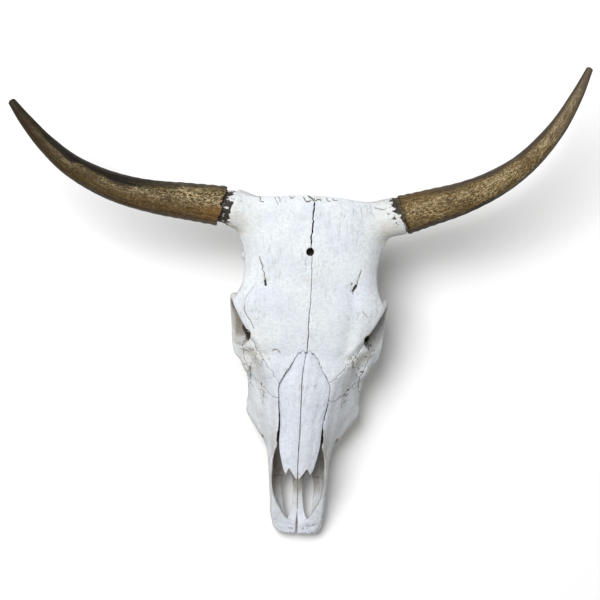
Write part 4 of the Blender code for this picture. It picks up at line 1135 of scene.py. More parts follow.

# How far out from a surface the crowding round it is read, and from which crowding on, up to which, a cream
# tint and the dark of painted shade come in there: where bone crowds round a point, shade is painted on it.
CROWD_AHEAD = 6.0
CROWD_CREAM = (0.38, 0.55)
CROWD_SHADE = (0.38, 0.58)

# The edge of the forehead over the orbit, and the outer edge of the painted shade under it on the right:
# station, how far out it is there.
ORBIT_EDGE = [(290, 76), (306, 84), (335, 99), (356, 111), (372, 108)]
BROW_SHADE = [(300, 110), (350, 113)]

# Where cream and beige stains lie: centre, reach, strength.
CREAM = [
    ((112, 482, 152), 28, 1.4), ((-112, 478, 152), 28, 1.2), ((76, 292, 118), 26, 0.8),
    ((-76, 288, 120), 30, 0.9), ((-84, 262, 110), 26, 0.5), ((-82, 200, 70), 26, 0.5),
    ((70, 262, 138), 20, 0.35), ((-5, 396, 178), 6, 0.6), ((8, 393, 178), 5, 0.5),
    ((106, 408, 148), 22, 0.25), ((0, 90, 40), 26, 0.5), ((-100, 470, 150), 26, 0.3),
]


def blobs(points, rows, both_sides):
    """The strongest of several soft spots at each point: a bell round each centre, wide as its reach."""
    p = points.copy()
    if both_sides:
        p[:, 0] = abs(p[:, 0])
    total = np.zeros(len(p))
    for center, reach, strength in rows:
        total = np.maximum(total, strength * np.exp(-np.sum((p - center) ** 2, axis=1) / reach**2))
    return total


def ragged_edge(points):
    """0 on the bone and 1 on the bare core past the bone's ragged end, whose spikes run lengthways.

    On the right the core is bare up to the horn, but for flakes of bone. On the left a broken band under the
    rim is bare, which widens towards the poll.
    """
    x, y = -points[:, 0], points[:, 1]
    edge = read_line(CORE_EDGE, y)
    spikes = 10.0 * abs(noise(points * (0.25, 1, 1), 5.0, 32)) + 3.0 * noise(points * (0.4, 1, 1), 2.4, 33)
    right = step(-0.8, 0.8, x - edge - 3.0 * noise(points, 9, 31) - spikes)
    right = right * (1 - step(0.34, 0.46, noise(points * (0.6, 1, 1), 3.2, 36)) * step(16, 9, x - edge))
    before_rim = (points - np.array(HORN[1][0][:3])) @ LEFT_HORN_AXIS
    band = read_line(LEFT_BAND, y)
    jagged = 6.0 * noise(points * (0.5, 1, 1), 4.5, 34)
    left = step(-0.8, 0.8, before_rim - band - jagged - 3.0 * noise(points, 2.4, 35))
    return np.where(points[:, 0] < 0, right, left * (before_rim > -LEFT_BAND_WIDE)) * (y > COLLAR_FRONT)


def hollow_shade_and_dirt(points):
    """How much more or less stain and painted shade the walls of the hollows get.

    In an orbit the painted shade is deepest under the forehead's edge and at the inner corner; in the nasal
    hollow a few spots get more painted shade.
    """
    inner = abs(points[:, 0]) - read_line(ORBIT_EDGE, points[:, 1])
    corner = step(324, 312, points[:, 1]) * step(12, 5, inner) * np.where(points[:, 0] < 0, 1, 0.4)
    orbit = 0.65 + 0.8 * step(15, 0, inner) + 1.2 * corner
    return np.where(points[:, 1] > 285, orbit, 1.0 + blobs(points, NOSE_SHADE, False))


def brow_painted_shade(points):
    """Painted shade on an orbit's rim under the forehead's edge: on the right it reaches out to BROW_SHADE.
    """
    inner = abs(points[:, 0]) - read_line(ORBIT_EDGE, points[:, 1])
    past = abs(points[:, 0]) - read_line(BROW_SHADE, points[:, 1])
    right = (0.56 + 0.34 * step(6, 1, inner)) * step(3, -4, past) * step(294, 310, points[:, 1])
    left = 0.4 * step(16, 3, inner) * step(312, 322, points[:, 1])
    spread = np.where(points[:, 0] < 0, right, left)
    return spread * step(-5, -2, inner) * step(370, 362, points[:, 1]) * (points[:, 2] < 137)


def bone_relief(points, spongy, bare, pits):
    """How far each point stands out of the bone.

    Noise of several sizes, stronger on the face. Where the bone is spongy, ridges and pits come on top, and
    the bare core of a horn lies lower.
    """
    face = step(300, 250, points[:, 1])
    relief = (0.16 + 0.30 * face) * layered(points, 9, 43) + 0.12 * noise(points, 2.4, 44)
    relief = relief + face * (0.6 * noise(points, 22, 50) + 0.22 * noise(points * (1, 0.35, 1), 4, 51))
    ridges = 0.5 - abs(noise(points * (1, 0.6, 1), 8, 48)) - 0.5 * abs(noise(points, 4, 49))
    return relief + spongy * (1.1 * ridges - 1.5 * pits) - bare * (1.4 + 0.9 * noise(points, 3.0, 45))


def bone_dirt_and_shade(points, depth, width, stain, crowd, side_shade):
    """The strongest of four kinds of darkening at each point: dirt, and painted shade.

    Dirt lies in the cracks of the roof and on the walls of the open sutures. Painted shade lies with some
    dirt in the hollows and on the orbit's rim under the forehead's edge, and thinly on every face that
    doesn't look up.
    """
    roof = step(140, 150, points[:, 2]) * step(250, 280, points[:, 1])
    cracks = furrow_shade(points[:, 0], points[:, 1]) * roof
    walls = step(-0.5, -1.5, depth) * (0.1 + 0.35 * step(0.2, 0.4, width) + 0.55 * step(0.8, 1.5, width))
    hollow = stain * (0.75 + 0.25 * layered(points, 12, 46) + 0.35 * step(0.8, 1.0, stain))
    hollow = np.maximum(hollow + 0.6 * step(*CROWD_SHADE, crowd), brow_painted_shade(points))
    # Painted shade on the sides: the less a face looks up, the darker it is painted.
    painted_side_shade = 0.32 * side_shade * (0.8 + 0.4 * layered(points, 20, 47))
    return np.maximum.reduce([cracks, walls, hollow, painted_side_shade])


def bone_surface(volume, crowding, parting, field_part, values):
    """A bone's surface with its relief, and its finish: how cream, dark, spongy and cool each point is, where
    cream and dark carry painted shade as well as stains and dirt.
    """
    points, quads = largest_body(*volume.surface(field_part, values))
    normals = point_normals(points, quads)
    depth = volume.read(points)
    crowd = crowding(points + normals * CROWD_AHEAD)
    spongy = np.maximum(blobs(points, SPONGY, True), blobs(points, LEFT_SPONGY, False))
    front = step(25, 105, points[:, 1])
    # The walls of the hollows carry painted shade with some dirt, less of it towards the nose's tip.
    stain = np.minimum(volume.stained(points) * (0.25 + 0.75 * front) * hollow_shade_and_dirt(points), 1)
    # How far a face turns away from up: the sides get painted shade from this, in cream and in dark.
    side_shade = step(0.85, 0.1, normals[:, 2])
    # A cream tint where bone crowds round a point: painted shade in the recesses.
    crowded = step(*CROWD_CREAM, crowd) * 0.8
    # Cream from the real stains, and as painted shade from the crowded spots, the hollows' walls and the
    # sides.
    cream = np.maximum.reduce([blobs(points, CREAM, False), crowded, stain, 0.45 * side_shade])
    bare = ragged_edge(points)
    pits = np.maximum(noise(points, 3.2, 41) + 0.5 * noise(points, 1.9, 42) - 0.15, 0)
    outer = np.clip(1 + depth / 0.8, 0, 1)
    points = points + normals * (bone_relief(points, spongy, bare, pits) * outer)[:, None]
    points[:, 2] = np.maximum(points[:, 2], 0.0)
    # The dark of dirt and of painted shade together.
    dirt = bone_dirt_and_shade(points, depth, parting.width_at(points), stain, crowd, side_shade)
    dark = np.maximum.reduce([dirt, bare, 1.2 * pits * spongy])
    cool = blobs(points, COOL, False)
    return points, quads, np.column_stack([np.clip(cream, 0, 1), np.clip(dark, 0, 1), spongy, cool])


def make_bones(pitch, gap, material):
    """Part the whole skull into its bones and make a piece of each."""
    volume = whole_skull(pitch)
    for side in SIDES.values():
        place = nasal_plate(side, top_lift=NASAL_CLEARED, cleared=True)
        volume.cut(place, melt=0.6, grow=NASAL_PLAY)
    parting = Parting(volume, gap)
    crowding = volume.crowding()
    shares = [row for word, side in SIDES.items() for row in parting.regions(word, side)]
    base = np.maximum(BASE_FRONT - 20 - parting.plan_y, parting.plan_y - SPHENOID_BACK)[:, :, None]
    shares.append(("sphenoid", lambda: base + parting.swell))
    shares.append(("occipital", lambda: np.float32(-REACH)))
    left = volume.field
    for name, share in shares:
        low, high = (np.array(corner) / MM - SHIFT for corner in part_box(name))
        where = volume.part(low - BOX_MARGIN, high + BOX_MARGIN)
        outside = share()
        mine = np.broadcast_to(outside, volume.shape)[where]
        values = np.ascontiguousarray(np.maximum(left[where], mine + parting.gap[where[:2]] / 2), np.float32)
        points, quads, finish = bone_surface(volume, crowding, parting, where, values)
        piece(f"bone_{name}", points, quads, material, [name], finish)
        if name != "occipital":
            left = np.maximum(left, parting.gap / 2 - outside)


# --------------------------------------------------------------------------- node groups and finishes

class Net:
    """A short way to write a shader tree: each method adds a node and gives back what comes out of it."""

    def __init__(self, tree):
        self.tree = tree

    def give(self, socket, value):
        """Link a socket when the value is another socket, and set it when it is a plain value."""
        if isinstance(value, bpy.types.NodeSocket):
            self.tree.links.new(value, socket)
        else:
            socket.default_value = value

    def node(self, kind, inputs=(), **settings):
        """The outputs of a new node with its settings and what it is given."""
        made = self.tree.nodes.new(kind)
        for key, value in settings.items():
            setattr(made, key, value)
        for key, value in dict(inputs).items():
            self.give(made.inputs[key], value)
        return made.outputs

    def math(self, operation, a, b=0.0, clamp=False):
        """What one of the Math node's operations makes of a and b."""
        return self.node("ShaderNodeMath", {0: a, 1: b}, operation=operation, use_clamp=clamp)[0]

    def times(self, a, b, clamp=False):
        """a times b."""
        return self.math("MULTIPLY", a, b, clamp)

    def plus(self, a, b):
        """a plus b."""
        return self.math("ADD", a, b)

    def cloud(self, place, scale, detail, rough):
        """Cloudy noise."""
        inputs = {"Vector": place, "Scale": scale, "Detail": detail, "Roughness": rough}
        return self.node("ShaderNodeTexNoise", inputs)[0]

    def ramp(self, value, low, high):
        """Value brought from the range low to high to the range 0 to 1, smoothly."""
        inputs = {"Value": value, "From Min": low, "From Max": high}
        return self.node("ShaderNodeMapRange", inputs, interpolation_type="SMOOTHSTEP", clamp=True)[0]

    def spots(self, place, scale, detail, rough, low, high):
        """Spots with soft edges: cloudy noise brought from the range low to high to 0 to 1."""
        return self.ramp(self.cloud(place, scale, detail, rough), low, high)

    def drawn(self, place, scale):
        """A place scaled in its three directions: a small scale draws a pattern out along that direction."""
        return self.node("ShaderNodeMapping", {"Vector": place, "Scale": scale})[0]

    def attribute(self, name):
        """What the piece's points carry under a name."""
        return self.node("ShaderNodeAttribute", attribute_name=name, attribute_type="GEOMETRY")


def mottle_group():
    """Patches and specks: a soft mask of large patches, one of fine specks, and a fine grain for relief."""
    tree = bpy.data.node_groups.new("mottle", "ShaderNodeTree")
    wanted = (("Vector", "NodeSocketVector", (0, 0, 0)), ("Patch Scale", "NodeSocketFloat", 30.0),
              ("Speck Scale", "NodeSocketFloat", 500.0))
    for label, kind, value in wanted:
        socket = tree.interface.new_socket(name=label, in_out="INPUT", socket_type=kind)
        socket.default_value = value
    for label in ("Patches", "Specks", "Grain"):
        tree.interface.new_socket(name=label, in_out="OUTPUT", socket_type="NodeSocketFloat")
    net = Net(tree)
    given = net.node("NodeGroupInput")
    place, patch_scale, speck_scale = given["Vector"], given["Patch Scale"], given["Speck Scale"]
    net.node("NodeGroupOutput", {
        "Patches": net.spots(place, patch_scale, 4.0, 0.6, 0.35, 0.7),
        "Specks": net.spots(place, speck_scale, 2.0, 0.6, 0.6, 0.78),
        "Grain": net.cloud(place, net.times(speck_scale, 2.0), 3.0, 0.6)})
    return tree


class Finish(Net):
    """A new material, with the four masks that each point of a piece carries, and with mottling."""

    def __init__(self, name, colors, mottle, patch_scale, speck_scale):
        material = bpy.data.materials.new(name)
        material.use_nodes = True
        super().__init__(material.node_tree)
        self.colors = colors
        self.place = self.node("ShaderNodeTexCoord")["Object"]
        layer = self.attribute("finish")
        parts = self.node("ShaderNodeSeparateColor", {0: layer["Color"]})
        self.masks = (parts[0], parts[1], parts[2], layer["Alpha"])
        inputs = {"Vector": self.place, "Patch Scale": patch_scale, "Speck Scale": speck_scale}
        self.mottling = self.node("ShaderNodeGroup", inputs, node_tree=mottle)

    def painted(self, ground, coats):
        """The ground's colour with coats of other colours over it, each through its own mask."""
        under = (*getattr(self.colors, ground), 1)
        for name, mask in coats:
            inputs = {0: mask, 6: under, 7: (*getattr(self.colors, name), 1)}
            under = self.node("ShaderNodeMix", inputs, data_type="RGBA", blend_type="MIX")[2]
        return under

    def shade(self, color, rough, relief, strength, distance, specular):
        """Bring the colour, the roughness and the relief to the material's shader."""
        bump = self.node("ShaderNodeBump", {"Strength": strength, "Distance": distance, "Height": relief})[0]
        shader = self.tree.nodes["Principled BSDF"]
        for key, value in (("Base Color", color), ("Roughness", rough), ("Normal", bump),
                           ("Specular IOR Level", specular)):
            self.give(shader.inputs[key], value)


def bone_material(colors, mottle):
    """Dry bone: a pale cool ground with soft patches, cream stains and cream painted shade, pores, and dirt
    and painted shade in two stages.

    Fine grey mottling and short grey streaks lie over the ground, and a few hairlines, where noise drawn out
    along the skull passes through its middle value.
    """
    net = Finish("dry_bone", colors, mottle, patch_scale=28.0, speck_scale=420.0)
    place, mottling = net.place, net.mottling
    cream, dark, spongy, cool = net.masks
    fine = net.spots(place, 190.0, 6.0, 0.75, 0.44, 0.66)
    lengthwise = net.drawn(place, (1.0, 0.22, 1.0))
    grain = net.cloud(lengthwise, 230.0, 5.0, 0.7)
    streaks = net.times(net.ramp(grain, 0.5, 0.68), net.spots(place, 24.0, 3.0, 0.6, 0.4, 0.62))
    off_line = net.math("ABSOLUTE", net.math("SUBTRACT", net.cloud(lengthwise, 70.0, 3.0, 0.5), 0.5))
    hairs = net.times(net.ramp(off_line, 0.012, 0.002), net.spots(place, 18.0, 2.0, 0.5, 0.54, 0.66))
    blotch = net.times(cream, net.spots(place, 90.0, 5.0, 0.65, 0.25, 0.65), clamp=True)
    pores = net.times(mottling["Specks"], net.plus(net.times(spongy, 0.8), 0.25))
    uneven = net.times(dark, net.plus(net.cloud(place, 220.0, 5.0, 0.7), 0.55))
    ground = net.painted("bone", (
        ("bone_shade", mottling["Patches"]),
        ("bone_cool", net.times(cool, 0.8)),
        ("bone_grey", net.times(fine, 0.5)),
        ("bone_grey", net.times(streaks, 0.9)),
        ("bone_grime_and_shade", net.times(hairs, 0.4)),
        ("bone_cream", net.times(blotch, 0.8)),
        ("bone_pore", pores),
        ("bone_grime_and_shade", net.ramp(uneven, 0.0, 0.75)),
        ("bone_dark", net.ramp(uneven, 0.6, 1.05)),
    ))
    chalk = net.times(net.cloud(place, 330.0, 4.0, 0.65), 1.6)
    relief = net.math("SUBTRACT", net.times(mottling["Grain"], 0.5), net.times(pores, 0.8))
    relief = net.plus(net.plus(relief, chalk), net.times(grain, 0.8))
    rough = net.plus(net.times(fine, 0.12), 0.62)
    net.shade(ground, rough, relief, strength=0.75, distance=0.0008, specular=0.3)


def horn_material(colors, mottle):
    """Horn: brown with fine lengthwise fibres, gold mottling, and a dark side and grey tip from its masks.

    Its fibres, shreds of gold and dark nicks are noise on the straight rod that the horn would be, drawn out
    along it.
    """
    net = Finish("old_horn", colors, mottle, patch_scale=45.0, speck_scale=260.0)
    gold, dark, grey, amber = net.masks
    rod = net.attribute("rod")["Vector"]
    fibre = net.cloud(net.drawn(rod, (1.0, 1.0, 0.05)), 420.0, 5.0, 0.7)
    short = net.drawn(rod, (1.0, 1.0, 0.5))
    shreds = net.spots(short, 480.0, 6.0, 0.9, 0.5, 0.58)
    threads = net.spots(net.drawn(rod, (1.0, 1.0, 0.1)), 700.0, 3.0, 0.7, 0.5, 0.66)
    patchy = net.spots(short, 60.0, 4.0, 0.6, 0.3, 0.62)
    fleck = net.math("MAXIMUM", shreds, net.times(threads, 0.5))
    fleck = net.times(fleck, net.plus(net.times(patchy, 0.8), 0.2))
    nicks = net.spots(short, 300.0, 5.0, 0.8, 0.58, 0.66)
    streak = net.plus(net.times(fibre, 0.9), 0.55)
    ground = net.painted("horn", (
        ("horn_olive", net.mottling["Patches"]),
        ("horn_amber", net.times(amber, 0.7)),
        ("horn_dark", net.times(net.ramp(fibre, 0.45, 0.65), 0.7)),
        ("horn_gold", net.times(fleck, gold, clamp=True)),
        ("horn_dark", net.times(nicks, 0.8)),
        ("horn_tip", grey),
        ("horn_dark", net.times(dark, streak, clamp=True)),
    ))
    relief = net.plus(net.times(fibre, 0.7), net.times(net.mottling["Grain"], 0.3))
    rough = net.plus(net.times(fibre, 0.35), 0.30)
    net.shade(ground, rough, relief, strength=0.7, distance=0.0008, specular=0.1)


def tooth_material(colors, mottle):
    """Teeth: cream enamel with brown stain towards the gum and in the folds of the worn face."""
    net = Finish("tooth_enamel", colors, mottle, patch_scale=120.0, speck_scale=700.0)
    gum, fold, _, _ = net.masks
    ground = net.painted("tooth", (
        ("bone_cream", net.times(net.mottling["Patches"], 0.6)),
        ("tooth_stain", net.times(gum, 0.75)),
        ("bone_dark", fold),
    ))
    rough = net.plus(net.times(net.mottling["Specks"], 0.3), 0.28)
    net.shade(ground, rough, net.mottling["Grain"], strength=0.3, distance=0.0004, specular=0.5)


# ------------------------------------------------------------------------------------- other pieces

def make_nasals(material):
    """The two nasal bones as plates on their own grids, with fine relief on their roofs."""
    for word, side in SIDES.items():
        points, quads = nasal_plate(side)
        normals = point_normals(points, quads)
        lengthwise = noise(points * (1, 0.22, 1), 5, 63) + 0.5 * noise(points * (1, 0.3, 1), 2.6, 64)
        relief = 0.5 * layered(points, 14, 61) + 0.12 * noise(points, 3, 62) + 0.30 * lengthwise
        points = points + normals * relief[:, None]
        spongy = 0.3 * step(120, 100, points[:, 1])
        cream = 0.15 * step(130, 95, points[:, 1])
        # The under side of each plate is painted dark: painted shade under the nasal bone.
        under = np.arange(len(points)) % (2 * NASAL_COLUMNS) >= NASAL_COLUMNS
        finish = np.column_stack([cream, 0.85 * under, spongy, np.full(len(points), 0.75)])
        piece(f"bone_nasal_{word}", points, quads, material, [f"nasal_{word}"], finish)


def tooth_surface(first, last, half_width, side):
    """A cheek tooth as rings round its crown, then over its worn face to the middle.

    The crown's outline is a squared circle with a waist between two columns and upright ribs on its outer
    side, where the edge below rises between the cusps. On the worn face the rings shrink towards the middle,
    and the height falls in two crescent folds between ridges of enamel.
    """
    turn = angles(72)
    middle = (first + last) / 2
    center = smooth_rows(TOOTH_ROW, [middle])[0, 0]
    slant = (smooth_rows(TOOTH_ROW, [last])[0, 0] - smooth_rows(TOOTH_ROW, [first])[0, 0]) / (last - first)
    length = (last - first) / 2
    molar = length > 9.5
    waist, ribbed, lobes, reach = (0.22, 10, (-0.5, 0.5), 0.30) if molar else (0.0, 6, (0.0,), 0.5)
    outside = np.clip(2 * np.cos(turn), 0, 1)
    pinch = 1 - waist * np.exp(-(np.sin(turn) / 0.28) ** 2)
    ribs = 1 + 0.07 * np.cos(turn * ribbed) * outside
    across = half_width * np.sign(np.cos(turn)) * abs(np.cos(turn)) ** 0.62 * pinch * ribs
    along = length * np.sign(np.sin(turn)) * abs(np.sin(turn)) ** 0.62

    row = np.arange(2 * TOOTH_RINGS)[:, None]
    worn = row >= TOOTH_RINGS
    down = np.concatenate([np.linspace(0, 0.96, TOOTH_RINGS), np.full(TOOTH_RINGS, 1.0)])[:, None]
    crown, face = np.linspace(0.86, 1.0, TOOTH_RINGS), np.linspace(0.97, 0.02, TOOTH_RINGS)
    sizes = np.concatenate([crown, face])[:, None]
    a, b = along * sizes / length, across * sizes / half_width
    cusp = sum(np.exp(-((a - lobe) / 0.25) ** 2) for lobe in lobes)
    heights = (ALVEOLAR_Z + 7) * (1 - down) + 2.2 * np.clip(1 - cusp, 0, 1) * step(-0.3, 0.9, b) * down
    plan = [center + across * sizes + along * sizes * slant, middle + along * sizes]
    rings = np.stack([*plan, heights], axis=-1)
    fold = np.zeros(a.shape)
    for lobe in lobes:
        bent = b - 0.25 + 0.9 * ((a - lobe) / reach) ** 2 * 0.35
        fold = np.maximum(fold, np.exp(-(bent / 0.17) ** 2) * step(1.15, 0.7, abs(a - lobe) / reach))
    ridge = np.exp(-((row - TOOTH_RINGS - 2) / 1.6) ** 2)
    inwards = step(TOOTH_RINGS, TOOTH_RINGS + 4, row)
    rings[..., 2] += worn * (2.4 * fold + 0.9 * (1 - ridge) * inwards)
    points, quads = closed_grid(rings * (side, 1, 1))

    gum = step(6, ALVEOLAR_Z, rings[..., 2])
    groove = np.clip(-np.cos(turn * ribbed), 0, 1) * outside * 0.5
    stain = np.where(worn, fold, groove)
    finish = np.stack([gum, stain, 0 * fold, 0 * fold], axis=-1)
    finish = np.concatenate([finish[:1], finish, finish[-1:]]).reshape(-1, 4)
    return points, quads if side > 0 else quads[:, ::-1], finish


def make_teeth(material):
    """The two rows of cheek teeth, each row one mesh."""
    for word, side in SIDES.items():
        points, quads, finish = zip(*(tooth_surface(*row, side) for row in TEETH))
        starts = np.cumsum([0] + [len(own) for own in points])
        quads = np.concatenate([own + start for own, start in zip(quads, starts)])
        piece(f"teeth_{word}", np.concatenate(points), quads, material, [f"maxilla_{word}"],
              np.concatenate(finish))


def horn_surface(side):
    """A horn: an oval carried along its line from the tip to the rim, then back in along the socket's wall.

    Its radius carries low growth rings towards the base and fine lengthwise fibres, and the rim's edge is
    broken: it runs in and out along the horn by noise over the angle. With the points go, for each ring, how
    far along the horn it is and whether it is inside the socket, and the angles of its points.
    """
    count, turn = HORN_RINGS, angles(HORN_COLUMNS)
    path, radius, along, across, up = horn_line(side, count)
    line = round_lines(turn, across, up)
    share = np.linspace(0, 1, count)
    circle = np.stack([np.cos(turn), np.sin(turn), 0 * turn], axis=-1)
    places = np.stack(np.broadcast_arrays(circle[:, 0] * 6, circle[:, 1] * 6, share[:, None] * 30), axis=-1)
    fibre = noise(places * (3, 3, 0.35), 1.0, 71) * 0.16 + noise(places * (7, 7, 0.6), 1.0, 72) * 0.08
    bumps = layered(places, 2.2, 73) * 0.5
    growth = 0.45 * np.sin(share * 150 + 2.5 * np.sin(share * 9)) * np.exp(-share * 4.0)
    taper = np.minimum(1, radius / 20)[:, None]
    worked = radius[:, None] - 0.5 + (growth[:, None] + bumps + fibre) * taper
    outer = path[:, None] + worked[..., None] * line

    chip = HORN_CHIP[side]
    edge = noise(circle * 5, 1.6, 74 + side) * chip
    edge = edge + 0.5 * chip * noise(circle * 5, 0.5, 76)
    from_rim = np.linalg.norm(path - path[0], axis=1)[:, None]
    sheer = HORN_RIM_SHEAR[side] * (path[0, 1] - outer[..., 1]) * np.exp(-from_rim / 60.0)
    shift = sheer + (np.maximum(edge, -1.0) + 1.0) * np.exp(-from_rim / 9.0)
    outer = outer + shift[..., None] * along[:, None]
    depth = int(count * HORN_BORE_DEPTH / HORN_LENGTH)
    inner_line = path[:depth, None] + (radius[:depth] - HORN_WALL)[:, None, None] * line[:depth]
    inner = inner_line + shift[:depth, :, None] * along[:depth, None]
    lip = inner[:1] * 0.5 + outer[:1] * 0.5 - 0.4 * along[0]
    tip = []
    for k in range(TIP_RINGS, 0, -1):
        angle = k / (TIP_RINGS + 1) * math.pi / 2
        tip.append(path[-1] + along[-1] * radius[-1] * 0.62 * math.sin(angle)
                   + (outer[-1] - path[-1]) * math.cos(angle))
    points, quads = closed_grid(np.concatenate([tip, outer[::-1], lip, inner]))
    bore = share[:depth]
    along_horn = np.concatenate([np.ones(1 + TIP_RINGS), share[::-1], [0.0], bore, bore[-1:]])
    inside = np.concatenate([np.zeros(1 + TIP_RINGS + count), [0.3], np.ones(depth + 1)])
    return points, quads if side > 0 else quads[:, ::-1], along_horn, inside, turn


def right_horn_masks(s, hollow, wave):
    """Gold, dark, grey and amber on the right horn, from how far along it and how far on its hollow edge.

    It is the darker one: a dark band runs along its hollow edge, the gold lies above the middle near its
    base, and amber below it.
    """
    middle = step(0.12, 0.4, s) * step(1.05, 0.7, s)
    band = step(0.62 - 0.5 * middle, 0.92 - 0.4 * middle, hollow + 0.22 * wave) * (0.55 + 0.4 * middle)
    lower = 0.6 * step(0.55, 0.95, -hollow + 0.15 * wave)
    dark = np.maximum(np.maximum(band, lower), 0.25 + 0.45 * step(0.6, 0.95, s))
    gold = (0.25 + 0.90 * np.exp(-((hollow - 0.3) / 0.45) ** 2)) * (1 - 0.45 * step(0.1, 0.6, s + 0.2 * wave))
    gold = gold * step(0.95, 0.7, s)
    grey = 0.25 * step(0.93, 1.0, s)
    amber = step(0.16, 0.02, s + 0.06 * wave) * step(0.3, -0.5, hollow)
    amber = amber + 0.4 * step(0.7, 0.2, s) * step(0.2, -0.4, hollow)
    return gold, dark, grey, amber


def left_horn_masks(s, hollow, wave):
    """The same on the left horn.

    It has gold over all its length, a narrow grey band along its hollow edge, a dark rim and a grey tip.
    """
    band = step(0.45, 0.85, hollow + 0.2 * wave) * step(0.05, 0.3, s) * 0.55
    edge = step(0.72, 0.98, -hollow + 0.1 * wave) * 0.85
    dark = np.maximum.reduce([band, edge, 0.8 * step(0.022, 0.006, s + 0.006 * wave)])
    gold = (0.65 + 0.35 * step(0.2, 0.5, s + 0.2 * wave)) * step(1.0, 0.2, hollow) * step(1.05, 0.8, s)
    gold = gold * (0.5 + 0.5 * step(-0.9, -0.2, hollow + 0.2 * wave))
    grey = np.maximum(step(0.45, 1.0, s + 0.1 * wave) * 0.6, band)
    return gold, dark, grey, 0.25


def make_horns(material):
    """The two horns, with their masks and, for their fibres, each point's place on a straight rod."""
    masks = {1: left_horn_masks, -1: right_horn_masks}
    for word, side in SIDES.items():
        points, quads, share, inside, turn = horn_surface(side)
        s, inside = share[:, None], inside[:, None]
        hollow, upper = -np.cos(turn)[None, :] * side, np.sin(turn)[None, :]
        wave = noise(points.reshape(len(share), len(turn), 3), 26, 81)
        gold, dark, grey, amber = masks[side](s, hollow, wave)
        # The gold is stronger on the upper side: partly the horn's own flecks, partly a painted highlight
        # where the light falls.
        gold = gold * (0.6 + 0.4 * step(-0.6, 0.5, upper))
        rim = (s == 0) & (inside < 1)
        # The socket's inner wall is painted dark: painted shade inside the horn.
        dark = np.maximum(dark, inside) * (1 - rim)
        gold = np.maximum(gold, rim)
        finish = np.stack(np.broadcast_arrays(gold, dark, grey, np.clip(amber, 0, 1)), axis=-1).reshape(-1, 4)
        circle = ROD_RADIUS * np.cos(turn)[None, :], ROD_RADIUS * upper
        rod = np.stack(np.broadcast_arrays(*circle, HORN_LENGTH * s), axis=-1).reshape(-1, 3)
        piece(f"horn_sheath_{word}", points, quads, material, [f"horn_{word}"], finish, rod)


# --------------------------------------------------------------------------- settings and operators

# The large soft light: its place and size, in metres.
LIGHT_AT = (-1.4, 1.4, 4.7)
LIGHT_SIZE = 3.0

# The camera: how far to the side of the origin it is, in metres, its turn in degrees, and its sensor's
# width in millimetres.
CAMERA_X = 0.0152
CAMERA_TURN = 3.0
SENSOR_WIDTH = 36.0

# The floor reaches this far each way, in metres.
FLOOR_REACH = 30.0
FLOOR_ROUGHNESS = 0.9


def color(name, text, value):
    """A colour that can be changed in the panel."""
    return FloatVectorProperty(name=name, description=text, default=value, subtype="COLOR", min=0, max=1)


class SkullSizes(bpy.types.PropertyGroup):
    """Sizes of the skull's surface."""

    pitch: FloatProperty(
        name="Sample step", description="Distance between the samples that the bones are worked out on",
        default=0.0012, min=0.0008, max=0.004, unit="LENGTH")
    gap: FloatProperty(
        name="Suture", description="Gap between two bones at their suture",
        default=0.00055, min=0.0002, max=0.002, unit="LENGTH")


class SkullColors(bpy.types.PropertyGroup):
    """Colours of the skull's finishes."""

    bone: color("Bone", "Ground of the dry bone", (0.68, 0.72, 0.735))
    bone_shade: color("Bone patches", "Soft cooler patches on the bone", (0.60, 0.64, 0.69))
    bone_grey: color("Bone grey", "Fine grey mottling on the bone", (0.48, 0.50, 0.51))
    bone_cool: color("Bone tint", "Lilac tint of some of the bone", (0.62, 0.65, 0.75))
    # The cream colours real stains, and painted shade on the sides and in the hollows.
    bone_cream: color("Bone stain", "Cream stains on the bone", (0.56, 0.50, 0.39))
    bone_pore: color("Pores", "Open pores of the bone", (0.25, 0.22, 0.19))
    # The grime colours dirt and painted shade in the hollows and on the sides; the deep grime colours dirt
    # and the black painted shade in the slits and the orbits' inner corners.
    bone_grime_and_shade: color("Grime", "Thin dirt in the hollows", (0.20, 0.17, 0.135))
    bone_dark: color("Deep grime", "Thick dirt in cracks and on the bare core", (0.03, 0.024, 0.019))
    horn: color("Horn", "Brown ground of the horn", (0.058, 0.031, 0.008))
    horn_olive: color("Horn olive", "Olive patches of the horn", (0.082, 0.060, 0.021))
    horn_gold: color("Horn gold", "Gold flecks of the horn", (0.68, 0.54, 0.30))
    horn_amber: color("Horn amber", "Amber parts of the horn", (0.20, 0.095, 0.02))
    horn_dark: color("Horn dark", "Dark side and fibres of the horn", (0.009, 0.007, 0.005))
    horn_tip: color("Horn tip", "Grey tip of the horn", (0.105, 0.088, 0.070))
    tooth: color("Tooth", "Enamel of the cheek teeth", (0.66, 0.60, 0.48))
    tooth_stain: color("Tooth stain", "Stain of the teeth by the bone", (0.22, 0.15, 0.08))


class SkullStage(bpy.types.PropertyGroup):
    """Floor, light and camera."""

    floor: color("Floor", "Colour of the floor", (0.84, 0.84, 0.84))
    light: FloatProperty(
        name="Main light", description="Power of the large soft light", default=286.0, min=0, unit="POWER")
    sky: FloatProperty(
        name="Sky", description="Strength of the even light from all round", default=0.37, min=0)
    height: FloatProperty(
        name="Camera height", description="Height of the camera over the table", default=3.0, unit="LENGTH")
    lens: FloatProperty(
        name="Lens", description="Focal length of the camera", default=115.23, subtype="DISTANCE_CAMERA")


